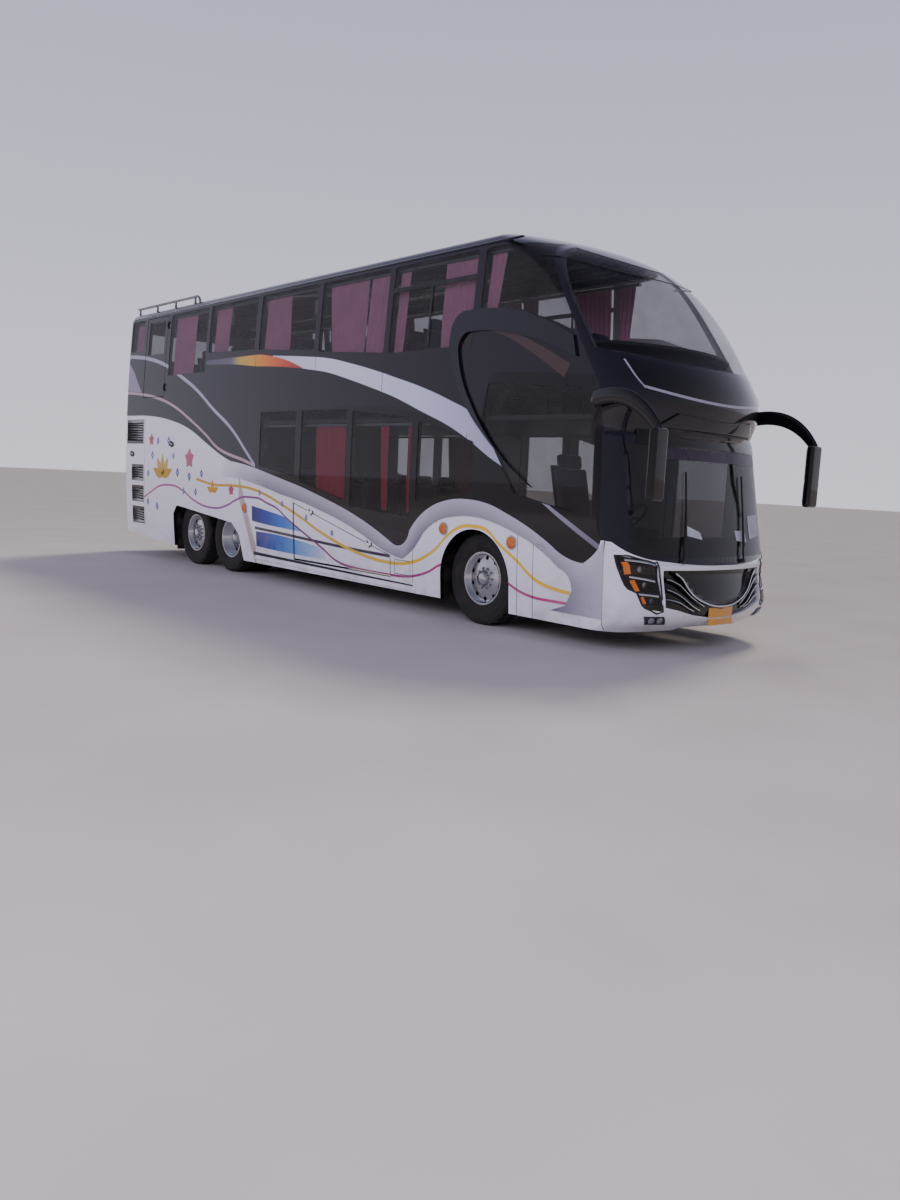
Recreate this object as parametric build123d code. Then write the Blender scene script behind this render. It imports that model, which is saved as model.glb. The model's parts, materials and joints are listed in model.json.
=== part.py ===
from build123d import *
import os
from math import atan2, cos, radians, sin, sqrt

os.makedirs("parts", exist_ok=True)

# A two-deck touring coach. Millimetres, +X forward, +Y to the bus's left, +Z up.
# The origin is on the ground, midway between the foremost and rearmost points.

# Overall sizes of the body
BODY_WIDTH = 2550
WAIST_Z = 1650
SIDE_RADIUS_LOW = 16500
SIDE_RADIUS_HIGH = 27000
SHOULDER_Z = 4085
SHOULDER_RADIUS = 190
ROOF_CROWN_Z = 4290
ROOF_CROWN_RADIUS = 12000
REAR_X = -6010
REAR_CORNER = 160
WALL = 55
GLASS = 8
GLASS_SET_BACK = 3
SEAT_GAP = 0.3

# Lower edges of the body
SKIRT_Z = 230
FRONT_SKIRT_Z = 205
REAR_SKIRT_Z = 265
TAIL_SKIRT_Z = 385

# Wheels and axles
TYRE_RADIUS = 520
TYRE_WIDTH = 295
RIM_RADIUS = 298
FRONT_AXLE_X = 3525
DRIVE_AXLE_X = -2215
TAG_AXLE_X = -3395
TYRE_OUTER_Y = 1135
TWIN_GAP = 45
SPINDLE_RADIUS = 35
RIM_SEAT = 284
RIM_WALL = 14
FLANGE = 8
DISC_DEPTH = 45
TWIN_DISC_DEPTH = 150
HAND_HOLES = 10
HAND_HOLE_CIRCLE = 230
HAND_HOLE_RADIUS = 25
BEAD_HALF = 110
FLANGE_Y = TYRE_OUTER_Y - TYRE_WIDTH / 2 + BEAD_HALF + SEAT_GAP
RUN = 0.05
KINGPIN_Y = 800
STEER_LIMIT = 38

# Decks
LOW_FLOOR_Z = 460
DRIVER_FLOOR_Z = 760
UPPER_FLOOR_Z = 2300
REAR_FLOOR_Z = 1180
FLOOR = 50
LOW_FLOOR_X = (-1470, 2690)
DRIVER_FLOOR_X = 4190

# Front face: height, centre position, plan radius of the middle, plan radius of the corner
FASCIA_SECTIONS = (
    (120, 5640, 3000, 450),
    (205, 5700, 3000, 450),
    (330, 5880, 3000, 450),
    (480, 5930, 3000, 450),
    (900, 5895, 3000, 450),
    (1130, 5850, 3000, 450),
)
SCREEN_SECTIONS = (
    (860, 5878, 3000, 450),
    (2300, 5590, 3000, 450),
)
MASK_SECTIONS = (
    (2080, 5650, 2400, 450),
    (2330, 5715, 2300, 470),
    (2560, 5730, 2200, 500),
    (2800, 5640, 2000, 560),
    (3200, 5400, 1900, 600),
    (3600, 5075, 1800, 600),
    (3900, 4700, 1800, 600),
    (4120, 4250, 1800, 600),
    (4260, 3800, 1800, 600),
    (4400, 3150, 1800, 600),
)
FASCIA_TOP_Z = 880
MASK_FOOT_Z = 2120
PLUG_BACK_X = 2000
PLUG_STAND_OFF = 12
STRAIGHT_BOW = 0.004


def side_half_width(z, inset=0):
    """Half the body's width at a height, with the skin moved in by inset."""
    radius = SIDE_RADIUS_LOW if z < WAIST_Z else SIDE_RADIUS_HIGH
    drop = z - WAIST_Z
    return BODY_WIDTH / 2 - radius + sqrt((radius - inset) ** 2 - drop ** 2)


def crown_height(y, inset=0):
    """Height of the roof crown at a distance from the middle."""
    return ROOF_CROWN_Z - ROOF_CROWN_RADIUS + sqrt((ROOF_CROWN_RADIUS - inset) ** 2 - y ** 2)


def barrel_face(inset):
    """Cross-section of the body in the YZ plane."""
    low_z = 60
    corner_y = side_half_width(4200, inset)
    for _ in range(8):
        corner_z = crown_height(corner_y, inset)
        corner_y = side_half_width(corner_z, inset)
    low_y = side_half_width(low_z, inset)
    waist_y = side_half_width(WAIST_Z, inset)
    low_mid = (low_z + WAIST_Z) / 2
    high_mid = (WAIST_Z + corner_z) / 2
    edges = [Line((-low_y, low_z), (low_y, low_z))]
    low_mid_y = side_half_width(low_mid, inset)
    high_mid_y = side_half_width(high_mid, inset)
    for side in (1, -1):
        waist = (side * waist_y, WAIST_Z)
        edges.append(ThreePointArc((side * low_y, low_z), (side * low_mid_y, low_mid), waist))
        edges.append(ThreePointArc(waist, (side * high_mid_y, high_mid), (side * corner_y, corner_z)))
    edges.append(ThreePointArc((corner_y, corner_z), (0, ROOF_CROWN_Z - inset), (-corner_y, corner_z)))
    face = make_face(edges)
    shoulders = [v for v in face.vertices() if v.Y > corner_z - 1]
    return fillet(shoulders, SHOULDER_RADIUS - inset)


def plan_face(section, inset):
    """Horizontal section of the front: straight sides, two corner arcs and a middle arc."""
    z, centre_x, radius, corner = section
    centre_x -= inset
    radius -= inset
    corner -= inset
    half = side_half_width(z, inset) + PLUG_STAND_OFF
    corner_y = half - corner
    corner_x = centre_x - radius + sqrt((radius - corner) ** 2 - corner_y ** 2)
    angle = atan2(corner_y, corner_x - centre_x + radius)
    meet = (centre_x - radius + radius * cos(angle), radius * sin(angle))
    half_turn = (angle + radians(90)) / 2
    middle = (corner_x + corner * cos(half_turn), corner_y + corner * sin(half_turn))
    back = PLUG_BACK_X
    edges = [
        Line((back, -half), (corner_x, -half)),
        ThreePointArc((corner_x, -half), (middle[0], -middle[1]), (meet[0], -meet[1])),
        ThreePointArc((meet[0], -meet[1]), (centre_x, 0), meet),
        ThreePointArc(meet, middle, (corner_x, half)),
        Line((corner_x, half), (back, half)),
        Line((back, half), (back, -half)),
    ]
    return Plane.XY.offset(z) * make_face(edges)


def box(x0, x1, y0, y1, z0, z1):
    """Block between two corners."""
    return Pos((x0 + x1) / 2, (y0 + y1) / 2, (z0 + z1) / 2) * Box(abs(x1 - x0), abs(y1 - y0), abs(z1 - z0))


def flat_face(outline, gap=0, corner=0):
    """Flat face of an outline, its corners rounded, moved in all round by a gap."""
    face = make_face(Polyline(*outline, close=True))
    if corner:
        face = fillet(face.vertices(), corner)
    return offset(face, amount=-gap, kind=Kind.INTERSECTION) if gap else face


def side_prism(outline, y0, y1, gap=0, corner=0):
    """Side outline of (x, z) points run across the bus."""
    return extrude(Plane.XZ.offset(-y1) * flat_face(outline, gap, corner), amount=y1 - y0)


def arcs_through(points):
    """Chain of arcs, each through three points in a row. Points in line give a straight run."""
    edges = []
    for start, middle, end in zip(points[0::2], points[1::2], points[2::2]):
        bow = (middle[0] - start[0]) * (end[1] - start[1]) - (middle[1] - start[1]) * (end[0] - start[0])
        reach = (end[0] - start[0]) ** 2 + (end[1] - start[1]) ** 2
        if abs(bow) < STRAIGHT_BOW * reach:
            edges += [Line(start, middle), Line(middle, end)]
        else:
            edges.append(ThreePointArc(start, middle, end))
    return edges


def curved_side_prism(edges, y0, y1):
    """Side outline made of edges, run across the bus."""
    return extrude(Plane.XZ.offset(-y1) * make_face(edges), amount=y1 - y0)


def round_bar(start, end, radius):
    """Straight round bar between two points."""
    axis = Vector(*end) - Vector(*start)
    return Solid.make_cylinder(radius, axis.length, Plane(origin=start, z_dir=axis))


def mirrored(shape):
    """The same piece on the other side of the bus."""
    return mirror(shape, about=Plane.XZ)


def hull(inset):
    """Closed outer form of the body, with the skin moved in by inset."""
    barrel = extrude(Plane.YZ.offset(REAR_X + inset) * barrel_face(inset), amount=6200 - REAR_X - inset)
    rear_edges = [e for e in barrel.edges().filter_by(Plane.YZ) if e.center().X < REAR_X + inset + 1]
    rear_edges = [e for e in rear_edges if e.center().Z > 100]
    barrel = fillet(rear_edges, REAR_CORNER - inset)
    fascia = loft([plan_face(s, inset) for s in FASCIA_SECTIONS])
    fascia &= box(0, 7000, -2000, 2000, 0, FASCIA_TOP_Z)
    screen = loft([plan_face(s, inset) for s in SCREEN_SECTIONS])
    screen &= box(0, 7000, -2000, 2000, FASCIA_TOP_Z, MASK_FOOT_Z)
    mask = loft([plan_face(s, inset) for s in MASK_SECTIONS])
    mask &= box(0, 7000, -2000, 2000, MASK_FOOT_Z, 5000)
    rear_half = barrel & box(-7000, PLUG_BACK_X + 500, -2000, 2000, 0, 5000)
    front_half = barrel & box(PLUG_BACK_X + 500, 7000, -2000, 2000, 0, 5000)
    pieces = [front_half & p for p in (fascia, screen, mask)]
    whole = rear_half
    for piece in pieces:
        whole += piece
    return whole


def save(name, shapes):
    """Write one node's solids."""
    solids = []
    for shape in shapes:
        solids.extend(shape.solids())
    export_step(Compound(children=solids), f"parts/{name}.step")


OUTER = hull(0)
INNER = hull(WALL)
GLASS_OUT = hull(GLASS_SET_BACK)
GLASS_IN = hull(GLASS_SET_BACK + GLASS)
LINING = hull(WALL + SEAT_GAP)
ON_SKIN = hull(-SEAT_GAP)

ABOVE_SKIRT = side_prism(
    [(-6300, 396), (-3960, REAR_SKIRT_Z), (-2800, SKIRT_Z), (2950, SKIRT_Z), (4080, FRONT_SKIRT_Z),
     (5450, FRONT_SKIRT_Z), (6300, 268), (6300, 4500), (-6300, 4500)], -2000, 2000)
SHELL = (OUTER - INNER) & ABOVE_SKIRT
PANES = GLASS_OUT - GLASS_IN
RIGHT = box(-7000, 7000, -2000, 0, 0, 5000)
LEFT = box(-7000, 7000, 0, 2000, 0, 5000)

# Where the skin divides, seen from the side
ROOF_LINE_Z = 4112
FASCIA_SEAM_X = 5372
FASCIA_EDGE = [(FASCIA_SEAM_X, 1088), (5425, 1083), (5560, 1000), (5700, 935), (5860, FASCIA_TOP_Z),
               (6200, FASCIA_TOP_Z)]
A_PILLAR = [(5300, 1092), (5215, 2300), (5025, 2930), (4250, 4062)]
SCREEN_FOOT = [(5025, 2930), (6200, 2700)]
CAP_EDGE = [(4250, 4062), (5900, 3462)]
REAR_SEAM_X = REAR_X + REAR_CORNER

fascia_zone = side_prism([(FASCIA_SEAM_X, 0)] + FASCIA_EDGE + [(6200, 0)], -2000, 2000)
mask_outline = [FASCIA_EDGE[0]] + A_PILLAR[:2] + SCREEN_FOOT + FASCIA_EDGE[:0:-1]
mask_zone = side_prism(mask_outline, -2000, 2000)
upper_screen_zone = side_prism(SCREEN_FOOT + [(6200, 3353)] + CAP_EDGE[::-1], -2000, 2000)
roof_zone = side_prism([(-6300, ROOF_LINE_Z), (4180, ROOF_LINE_Z), CAP_EDGE[0], CAP_EDGE[1], (6200, 3353),
                        (6200, 4600), (-6300, 4600)], -2000, 2000)
side_outline = [(REAR_SEAM_X, 0), (FASCIA_SEAM_X, 0), FASCIA_EDGE[0]] + A_PILLAR
side_zone = side_prism(side_outline + [(4180, ROOF_LINE_Z), (REAR_SEAM_X, ROOF_LINE_Z)], -2000, 2000)
rear_zone = box(-6300, REAR_SEAM_X, -2000, 2000, 0, ROOF_LINE_Z)

# Wheel arches
FRONT_ARCH_X = 3515
FRONT_ARCH_Z = 505
FRONT_ARCH_RADIUS = 562
REAR_ARCH = [(-3955, 100), (-3955, 800), (-3830, 938), (-3700, 935), (-1950, 778), (-1730, 600), (-1580, 100)]
front_arch = round_bar((FRONT_ARCH_X, -1900, FRONT_ARCH_Z), (FRONT_ARCH_X, 1900, FRONT_ARCH_Z),
                       FRONT_ARCH_RADIUS)
front_arch_x = (FRONT_ARCH_X - FRONT_ARCH_RADIUS, FRONT_ARCH_X + FRONT_ARCH_RADIUS)
front_arch += box(*front_arch_x, -1900, 1900, 0, FRONT_ARCH_Z)
arches = front_arch + side_prism(REAR_ARCH, -1900, 1900)

# Upper deck windows: rear edge, front edge, sill at the rear, sill at the front
HEAD_Z = 4085
WINDOW_CORNER = 35
UPPER_WINDOWS = (
    (-5835, -5330, 3560, 3560),
    (-4270, -2960, 3085, 3085),
    (-2860, -1430, 3375, 3330),
    (-1310, 150, 3320, 3220),
    (260, 1700, 3190, 3085),
    (1800, 3270, 3070, 3070),
)
QUARTER_WINDOW = [(3390, 3450), (4000, 3385), (4500, 3215), (4860, 3060), (4180, HEAD_Z), (3390, HEAD_Z)]
# Lower deck windows: rear edge, front edge, then sill and head, each at the rear and at the front
LOWER_WINDOWS = (
    (-1130, -180, 1660, 1530, 2420, 2420),
    (-40, 1030, 1470, 1260, 2420, 2420),
    (1150, 2360, 1200, 1120, 2400, 2300),
    (2480, 3450, 1330, 1480, 2260, 2020),
)
DRIVER_WINDOW = [(4120, 1480), (5190, 1290), (5150, 2200), (4980, 2560), (3620, 2640), (3560, 2230)]


def window_outlines(upper, lower):
    """Side outlines of all plain windows."""
    outlines = [[(x0, z0), (x1, z1), (x1, HEAD_Z), (x0, HEAD_Z)] for x0, x1, z0, z1 in upper]
    outlines += [[(x0, z0), (x1, z1), (x1, h1), (x0, h0)] for x0, x1, z0, z1, h0, h1 in lower]
    return outlines + [QUARTER_WINDOW, DRIVER_WINDOW]


def cut_windows(wall, outlines):
    """Wall with its window openings."""
    for outline in outlines:
        wall -= side_prism(outline, -1900, 1900, corner=WINDOW_CORNER)
    return wall


def panes_for(outlines, side):
    """One pane for each opening on a side."""
    return [PANES & side & side_prism(o, -1900, 1900, SEAT_GAP, WINDOW_CORNER) for o in outlines]


# Doors and flaps, seen from the side: rear edge, front edge, foot, head
EMERGENCY_DOOR = (-5215, -4385, 2740, 4095)
EMERGENCY_PANE = (-5110, -4490, 3470, 4015)
FRONT_DOOR = (4215, 5150, 300, 2330)
FRONT_DOOR_PANE = (4330, 5035, 1000, 2230)
MIDDLE_DOOR = (1700, 2600, 300, 2330)
MIDDLE_DOOR_PANE = (1815, 2485, 1000, 2230)
FLAP_SLOT_Z = (375, 400)
FLAP_REAR_GAP = 22
LUGGAGE_FLAP = [(-190, FLAP_SLOT_Z[0]), (2020, FLAP_SLOT_Z[0]), (2020, 640), (-190, 1175)]
EDGE_GAP = 10
LATCH_GAP = 18


# Hinges: a knuckle on the leaf turns on a pin between two lugs on the wall
HINGE_PIN = 5
HINGE_BARREL = 10
HINGE_LENGTH = 60
HINGE_LUG = 28
HINGE_PLAY = 1
HINGE_REACH = 34
HINGE_EDGE = 4
DOOR_AXIS_Y = BODY_WIDTH / 2 + 15
DOOR_HINGE_Z = (1000, 2100)
EMERGENCY_HINGE_Z = (2900, 3930)
EMERGENCY_AXIS_OUT = 15
FLAP_AXIS_OUT = 14
LID_AXIS_OUT = 12


def rod(radius, start, length):
    """Bar along Z from a height, in a hinge's own frame."""
    return Pos(0, 0, start + length / 2) * Cylinder(radius, length)


def hinge(centre, along, outward):
    """Knuckle and its pin with lugs. The leaf lies to the right of the axis as it is seen from outside."""
    place = Plane(origin=centre, x_dir=outward, z_dir=along)
    half = HINGE_LENGTH / 2
    plate_x = (HINGE_BARREL - 2 - HINGE_REACH) / 2
    plate_width = HINGE_BARREL - 2 + HINGE_REACH
    knuckle = rod(HINGE_BARREL, -half, HINGE_LENGTH)
    knuckle += Pos(plate_x, -HINGE_REACH / 2, 0) * Box(plate_width, HINGE_REACH, HINGE_LENGTH)
    knuckle -= rod(HINGE_PIN + RUN, -half, HINGE_LENGTH)
    end = half + HINGE_PLAY
    lugs = rod(HINGE_PIN, -end, 2 * end)
    for foot in (end, -end - HINGE_LUG):
        lugs += rod(HINGE_BARREL, foot, HINGE_LUG)
        lugs += Pos(plate_x, HINGE_REACH / 2, foot + HINGE_LUG / 2) * Box(plate_width, HINGE_REACH, HINGE_LUG)
    return place * knuckle, place * lugs


def hung(leaf, wall, centres, along, outward):
    """Leaf and wall with their hinges."""
    for centre in centres:
        knuckle, lugs = hinge(centre, along, outward)
        leaf += knuckle
        wall += lugs
    return leaf, wall


def rectangle(x0, x1, z0, z1):
    """Side outline of a rectangle."""
    return [(x0, z0), (x1, z0), (x1, z1), (x0, z1)]


def door_leaf(edges, pane, side):
    """Door leaf with its window opening, and its pane."""
    x0, x1, z0, z1 = edges
    leaf = SHELL & side & box(x0 + LATCH_GAP, x1 - EDGE_GAP, -1900, 1900, z0 + EDGE_GAP, z1 - EDGE_GAP)
    leaf -= box(*pane[:2], -1900, 1900, *pane[2:])
    glass = PANES & side & side_prism(rectangle(*pane), -1900, 1900, SEAT_GAP)
    return leaf, glass


right_wall = SHELL & side_zone & RIGHT
right_wall -= arches
left_wall = mirrored(right_wall)
right_outlines = window_outlines(UPPER_WINDOWS, LOWER_WINDOWS)
right_wall = cut_windows(right_wall, right_outlines)
right_wall -= box(*EMERGENCY_DOOR[:2], -1900, 0, *EMERGENCY_DOOR[2:])
flap_opening = side_prism(LUGGAGE_FLAP, -1900, 1900)
flap_form = side_prism(LUGGAGE_FLAP, -1900, 1900, EDGE_GAP)
right_wall -= flap_opening
REAR_LEFT_WINDOW = (-5215, -4385, 3085, 3085)
LEFT_REAR_OF_ARCH = (2730, 3450, 1375, 1480, 2210, 2020)
left_upper = UPPER_WINDOWS + (REAR_LEFT_WINDOW,)
left_lower = LOWER_WINDOWS[:2] + (LEFT_REAR_OF_ARCH,)
left_outlines = window_outlines(left_upper, left_lower)[:-1]
left_wall = cut_windows(left_wall, left_outlines)
left_wall -= box(*FRONT_DOOR[:2], 0, 1900, *FRONT_DOOR[2:])
left_wall -= box(*MIDDLE_DOOR[:2], 0, 1900, *MIDDLE_DOOR[2:])


def emergency_axis(z):
    """Point of the emergency door's leaning hinge line at a height."""
    foot, head = EMERGENCY_DOOR[2] + EDGE_GAP, EMERGENCY_DOOR[3] - EDGE_GAP
    foot_y = side_half_width(foot) + EMERGENCY_AXIS_OUT
    head_y = side_half_width(head) + EMERGENCY_AXIS_OUT
    y = foot_y + (z - foot) * (head_y - foot_y) / (head - foot)
    return Vector(EMERGENCY_DOOR[1] - HINGE_EDGE, -y, z)


emergency_door, emergency_glass = door_leaf(EMERGENCY_DOOR, EMERGENCY_PANE, RIGHT)
foot, head = (emergency_axis(z) for z in EMERGENCY_HINGE_Z)
emergency_door, right_wall = hung(emergency_door, right_wall, (foot, head), head - foot, (0, -1, 0))
save("emergency_door", [emergency_door])
save("emergency_door_glass", [emergency_glass])

ENTRANCES = (("front_door", FRONT_DOOR, FRONT_DOOR_PANE), ("middle_door", MIDDLE_DOOR, MIDDLE_DOOR_PANE))
for name, edges, pane in ENTRANCES:
    leaf, glass = door_leaf(edges, pane, LEFT)
    centres = [(edges[1] - HINGE_EDGE, DOOR_AXIS_Y, z) for z in DOOR_HINGE_Z]
    leaf, left_wall = hung(leaf, left_wall, centres, (0, 0, -1), (0, 1, 0))
    save(name, [leaf])
    save(f"{name}_glass", [glass])

# Air louvres behind the rear wheels: rear edge, front edge, foot, head
LOUVRES = (
    (-5830, -5120, 1950, 2370),
    (-5620, -5115, 1300, 1590),
    (-5620, -5115, 930, 1220),
    (-5620, -5115, 550, 850),
)
LOUVRE_FRAME = 26
LOUVRE_PITCH = 42
LOUVRE_SLOT = 20
LOUVRE_DEPTH = 38
LOUVRE_LEAN = 28


def louvre(x0, x1, z0, z1):
    """Louvred panel: slots lean down and out, and its back stays closed."""
    panel = SHELL & RIGHT & side_prism(rectangle(x0, x1, z0, z1), -1900, 0, SEAT_GAP)
    count = int((z1 - z0 - 2 * LOUVRE_FRAME) / LOUVRE_PITCH)
    first = (z0 + z1) / 2 - (count - 1) * LOUVRE_PITCH / 2
    for i in range(count):
        z = first + i * LOUVRE_PITCH
        slot = Box(x1 - x0 - 2 * LOUVRE_FRAME, 2 * LOUVRE_DEPTH, LOUVRE_SLOT)
        panel -= Pos((x0 + x1) / 2, -side_half_width(z), z) * Rot(LOUVRE_LEAN, 0, 0) * slot
    return panel


louvres = [louvre(*edges) for edges in LOUVRES]
save("side_louvres", louvres + [mirrored(panel) for panel in louvres])
for x0, x1, z0, z1 in LOUVRES:
    right_wall -= box(x0, x1, -1900, 0, z0, z1)
    left_wall -= box(x0, x1, 0, 1900, z0, z1)

luggage_flap = SHELL & RIGHT & flap_form
luggage_flap &= box(LUGGAGE_FLAP[0][0] + FLAP_REAR_GAP, 7000, -1900, 0, FLAP_SLOT_Z[1], 2000)
rear_end, front_end = [Vector(x, -side_half_width(z) - FLAP_AXIS_OUT, z - HINGE_EDGE)
                       for x, z in LUGGAGE_FLAP[:1:-1]]
flap_centres = [rear_end + (front_end - rear_end) * share for share in (0.2, 0.8)]
luggage_flap, right_wall = hung(luggage_flap, right_wall, flap_centres, rear_end - front_end, (0, -1, 0))
save("luggage_flap", [luggage_flap])

save("side_wall_right", [right_wall])
save("side_wall_left", [left_wall])
save("side_glass_right", panes_for(right_outlines, RIGHT))
save("side_glass_left", panes_for(left_outlines, LEFT))

# Roof with its front cap and drip rails, and two escape hatches on top
DRIP_Z = (4138, 4152)
DRIP_PROUD = 10
HATCH_X = (-1750, 1150)
HATCH_SIZE = (680, 620)
HATCH_HEIGHT = 34
roof = SHELL & roof_zone


def barrel_skin(inset_out, inset_in):
    """Skin of the straight part of the body between two depths."""
    length = 5500 - REAR_X
    whole = extrude(Plane.YZ.offset(REAR_X) * barrel_face(inset_out), amount=length)
    return whole - extrude(Plane.YZ.offset(REAR_X) * barrel_face(inset_in), amount=length)


drip_skin = barrel_skin(-DRIP_PROUD, WALL / 2)
for y0, y1 in ((-1900, 0), (0, 1900)):
    roof += drip_skin & box(REAR_SEAM_X + 20, 3900, y0, y1, *DRIP_Z)
save("roof_skin", [roof])
hatches = []
for x in HATCH_X:
    hatch = Pos(x, 0, ROOF_CROWN_Z) * Box(*HATCH_SIZE, 2 * HATCH_HEIGHT)
    hatch = fillet(hatch.edges().filter_by(Axis.Z), 70)
    hatch = fillet(hatch.faces().sort_by(Axis.Z)[-1].edges(), 16)
    hatches.append(hatch - ON_SKIN)
save("roof_hatches", hatches)

# Rear wall with the engine lid and the rear window
ENGINE_LID = (-930, 930, 640, 2060)
REAR_WINDOW = (-900, 900, 3150, 3950)
rear_wall = SHELL & rear_zone
rear_wall -= box(-6300, REAR_SEAM_X, *ENGINE_LID)
rear_wall -= box(-6300, REAR_SEAM_X, *REAR_WINDOW)
engine_lid = SHELL & rear_zone & box(-6300, REAR_X + WALL, ENGINE_LID[0] + EDGE_GAP, ENGINE_LID[1] - EDGE_GAP,
                                      ENGINE_LID[2] + EDGE_GAP, ENGINE_LID[3] - EDGE_GAP)
LID_HINGE_Y = 620
lid_axis_z = ENGINE_LID[3] - HINGE_EDGE - 1
lid_centres = [(REAR_X - LID_AXIS_OUT, side * LID_HINGE_Y, lid_axis_z) for side in (-1, 1)]
engine_lid, rear_wall = hung(engine_lid, rear_wall, lid_centres, (0, 1, 0), (-1, 0, 0))
save("rear_wall", [rear_wall])
save("engine_lid", [engine_lid])
rear_glass = PANES & box(-6300, REAR_SEAM_X, REAR_WINDOW[0] + SEAT_GAP, REAR_WINDOW[1] - SEAT_GAP,
                         REAR_WINDOW[2] + SEAT_GAP, REAR_WINDOW[3] - SEAT_GAP)
save("rear_glass", [rear_glass])

# Front: lower fascia, mask with brow, two windscreens
LOWER_SCREEN = [(-1130, 1000), (-1000, 960), (1000, 960), (1130, 1000), (1130, 2020), (-1130, 2020)]
HEADLAMP = [(856, 440), (1004, 462), (1067, 501), (1102, 615), (1162, 652), (1189, 740), (1229, 962),
            (1065, 935), (930, 902), (902, 880)]
HEADLAMP_BACK_X = 5440
GRILLE = [(-830, 833), (-830, 480), (-680, 450), (-465, 396), (-165, 355), (165, 355), (465, 396), (680, 450),
          (830, 480), (830, 833)]


def front_prism(outline, x0=4000, x1=6300, gap=0):
    """Front outline of (y, z) points run along the bus."""
    return extrude(Plane.YZ.offset(x0) * flat_face(outline, gap), amount=x1 - x0)


def flipped(outline):
    """Front outline on the other side."""
    return [(-y, z) for y, z in outline]


BUMPER_STEP = (505, 258)
fascia = SHELL & fascia_zone
for outline in (HEADLAMP, flipped(HEADLAMP)):
    fascia -= front_prism(outline, HEADLAMP_BACK_X)
fascia -= front_prism(GRILLE)
fascia -= box(FASCIA_SEAM_X, 7000, -BUMPER_STEP[0], BUMPER_STEP[0], 0, BUMPER_STEP[1])
save("front_fascia", [fascia])
mask = SHELL & mask_zone
screen_cut = front_prism(LOWER_SCREEN, 5300)
mask -= screen_cut
save("front_mask", [mask])
lower_pane = PANES & front_prism(LOWER_SCREEN, 5300, gap=SEAT_GAP)
upper_pane = PANES & upper_screen_zone
save("windscreens", [lower_pane, upper_pane])

# Headlamps: a lens over a housing with three stepped bowls, each (y, z, radius)
BOWLS = ((1052, 842, 66), (1012, 690, 62), (962, 542, 58))
BOWL_DEPTH = 34
BOWL_FLOOR = 0.45
BOWL_FLARE = 1.35
BOWL_PAST_SKIN = 30
HOUSING_BACK = 2 * SEAT_GAP


def fascia_x(y, z):
    """Foremost point of the fascia's surface at a place."""
    low, high = [(a, b) for a, b in zip(FASCIA_SECTIONS, FASCIA_SECTIONS[1:]) if a[0] <= z <= b[0]][0]
    centre_x = low[1] + (z - low[0]) * (high[1] - low[1]) / (high[0] - low[0])
    radius, corner = low[2:]
    corner_y = side_half_width(z) + PLUG_STAND_OFF - corner
    corner_x = centre_x - radius + sqrt((radius - corner) ** 2 - corner_y ** 2)
    if y <= corner_y:
        return centre_x - radius + sqrt(radius ** 2 - y ** 2)
    return corner_x + sqrt(corner ** 2 - (y - corner_y) ** 2)


def bowl(y, z, radius):
    """Reflector bowl, as the cone that is cut from a housing."""
    mouth_x = fascia_x(y, z) + BOWL_PAST_SKIN
    depth = BOWL_DEPTH + BOWL_PAST_SKIN
    form = Cone(radius * BOWL_FLOOR, radius * BOWL_FLARE, depth)
    return Pos(mouth_x - depth / 2, y, z) * Rot(0, 90, 0) * form


right_lens = PANES & front_prism(HEADLAMP, HEADLAMP_BACK_X, gap=SEAT_GAP)
housing = GLASS_IN & front_prism(HEADLAMP, HEADLAMP_BACK_X + HOUSING_BACK + SEAT_GAP, gap=SEAT_GAP)
housing = Pos(-HOUSING_BACK, 0, 0) * housing - INNER
for place in BOWLS:
    housing -= bowl(*place)
save("lamp_housings", [housing, mirrored(housing)])
lamps = [right_lens, mirrored(right_lens)]
for x, z in ((-1540, 1030), (3010, 1040), (4110, 970)):
    y = side_half_width(z)
    lens = round_bar((x, -y + 12, z), (x, -y - 18, z), 62) - ON_SKIN
    lamps += [lens, mirrored(lens)]
TAIL_LAMP_Y = 1045
TAIL_LAMP_Z = (760, 930, 1100)
TAIL_LAMP_RADIUS = 68
for z in TAIL_LAMP_Z:
    lens = round_bar((REAR_X + 12, TAIL_LAMP_Y, z), (REAR_X - 18, TAIL_LAMP_Y, z), TAIL_LAMP_RADIUS) - ON_SKIN
    lamps += [lens, mirrored(lens)]
save("lamps", lamps)

# Grille: nested curved bars that stand on a dark back, round a bright U
GRILLE_BACK = 40
BAR_SECTION = (18, 13)
BAR_DEPTH = 30
GRILLE_BARS = (
    [(-806, 750), (-740, 733), (-640, 688), (-500, 578), (-310, 476)],
    [(-806, 652), (-730, 630), (-612, 574), (-480, 487), (-353, 434)],
    [(-806, 557), (-743, 548), (-640, 520), (-540, 470), (-436, 432)],
)
GRILLE_U = [(-700, 808), (-615, 750), (-509, 624), (-378, 543), (-190, 484), (0, 468), (190, 484), (378, 543),
            (509, 624), (615, 750), (700, 808)]


def bar_along(spots, section):
    """Bar of oval section along a smooth curve on the front."""
    path = Spline(*spots)
    start = Plane(origin=path @ 0, z_dir=path % 0, x_dir=(1, 0, 0))
    return sweep(start * Ellipse(*section), path=path)


def grille_bar(points):
    """Bar of the grille, sunk a little into its back."""
    return bar_along([(fascia_x(abs(y), z) - BAR_DEPTH, y, z) for y, z in points], BAR_SECTION)


grille = (hull(GRILLE_BACK) - INNER) & front_prism(GRILLE, gap=SEAT_GAP)
for points in GRILLE_BARS:
    bar = grille_bar(points)
    grille += bar
    grille += mirrored(bar)
grille += grille_bar(GRILLE_U)
save("front_grille", [grille])

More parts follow.
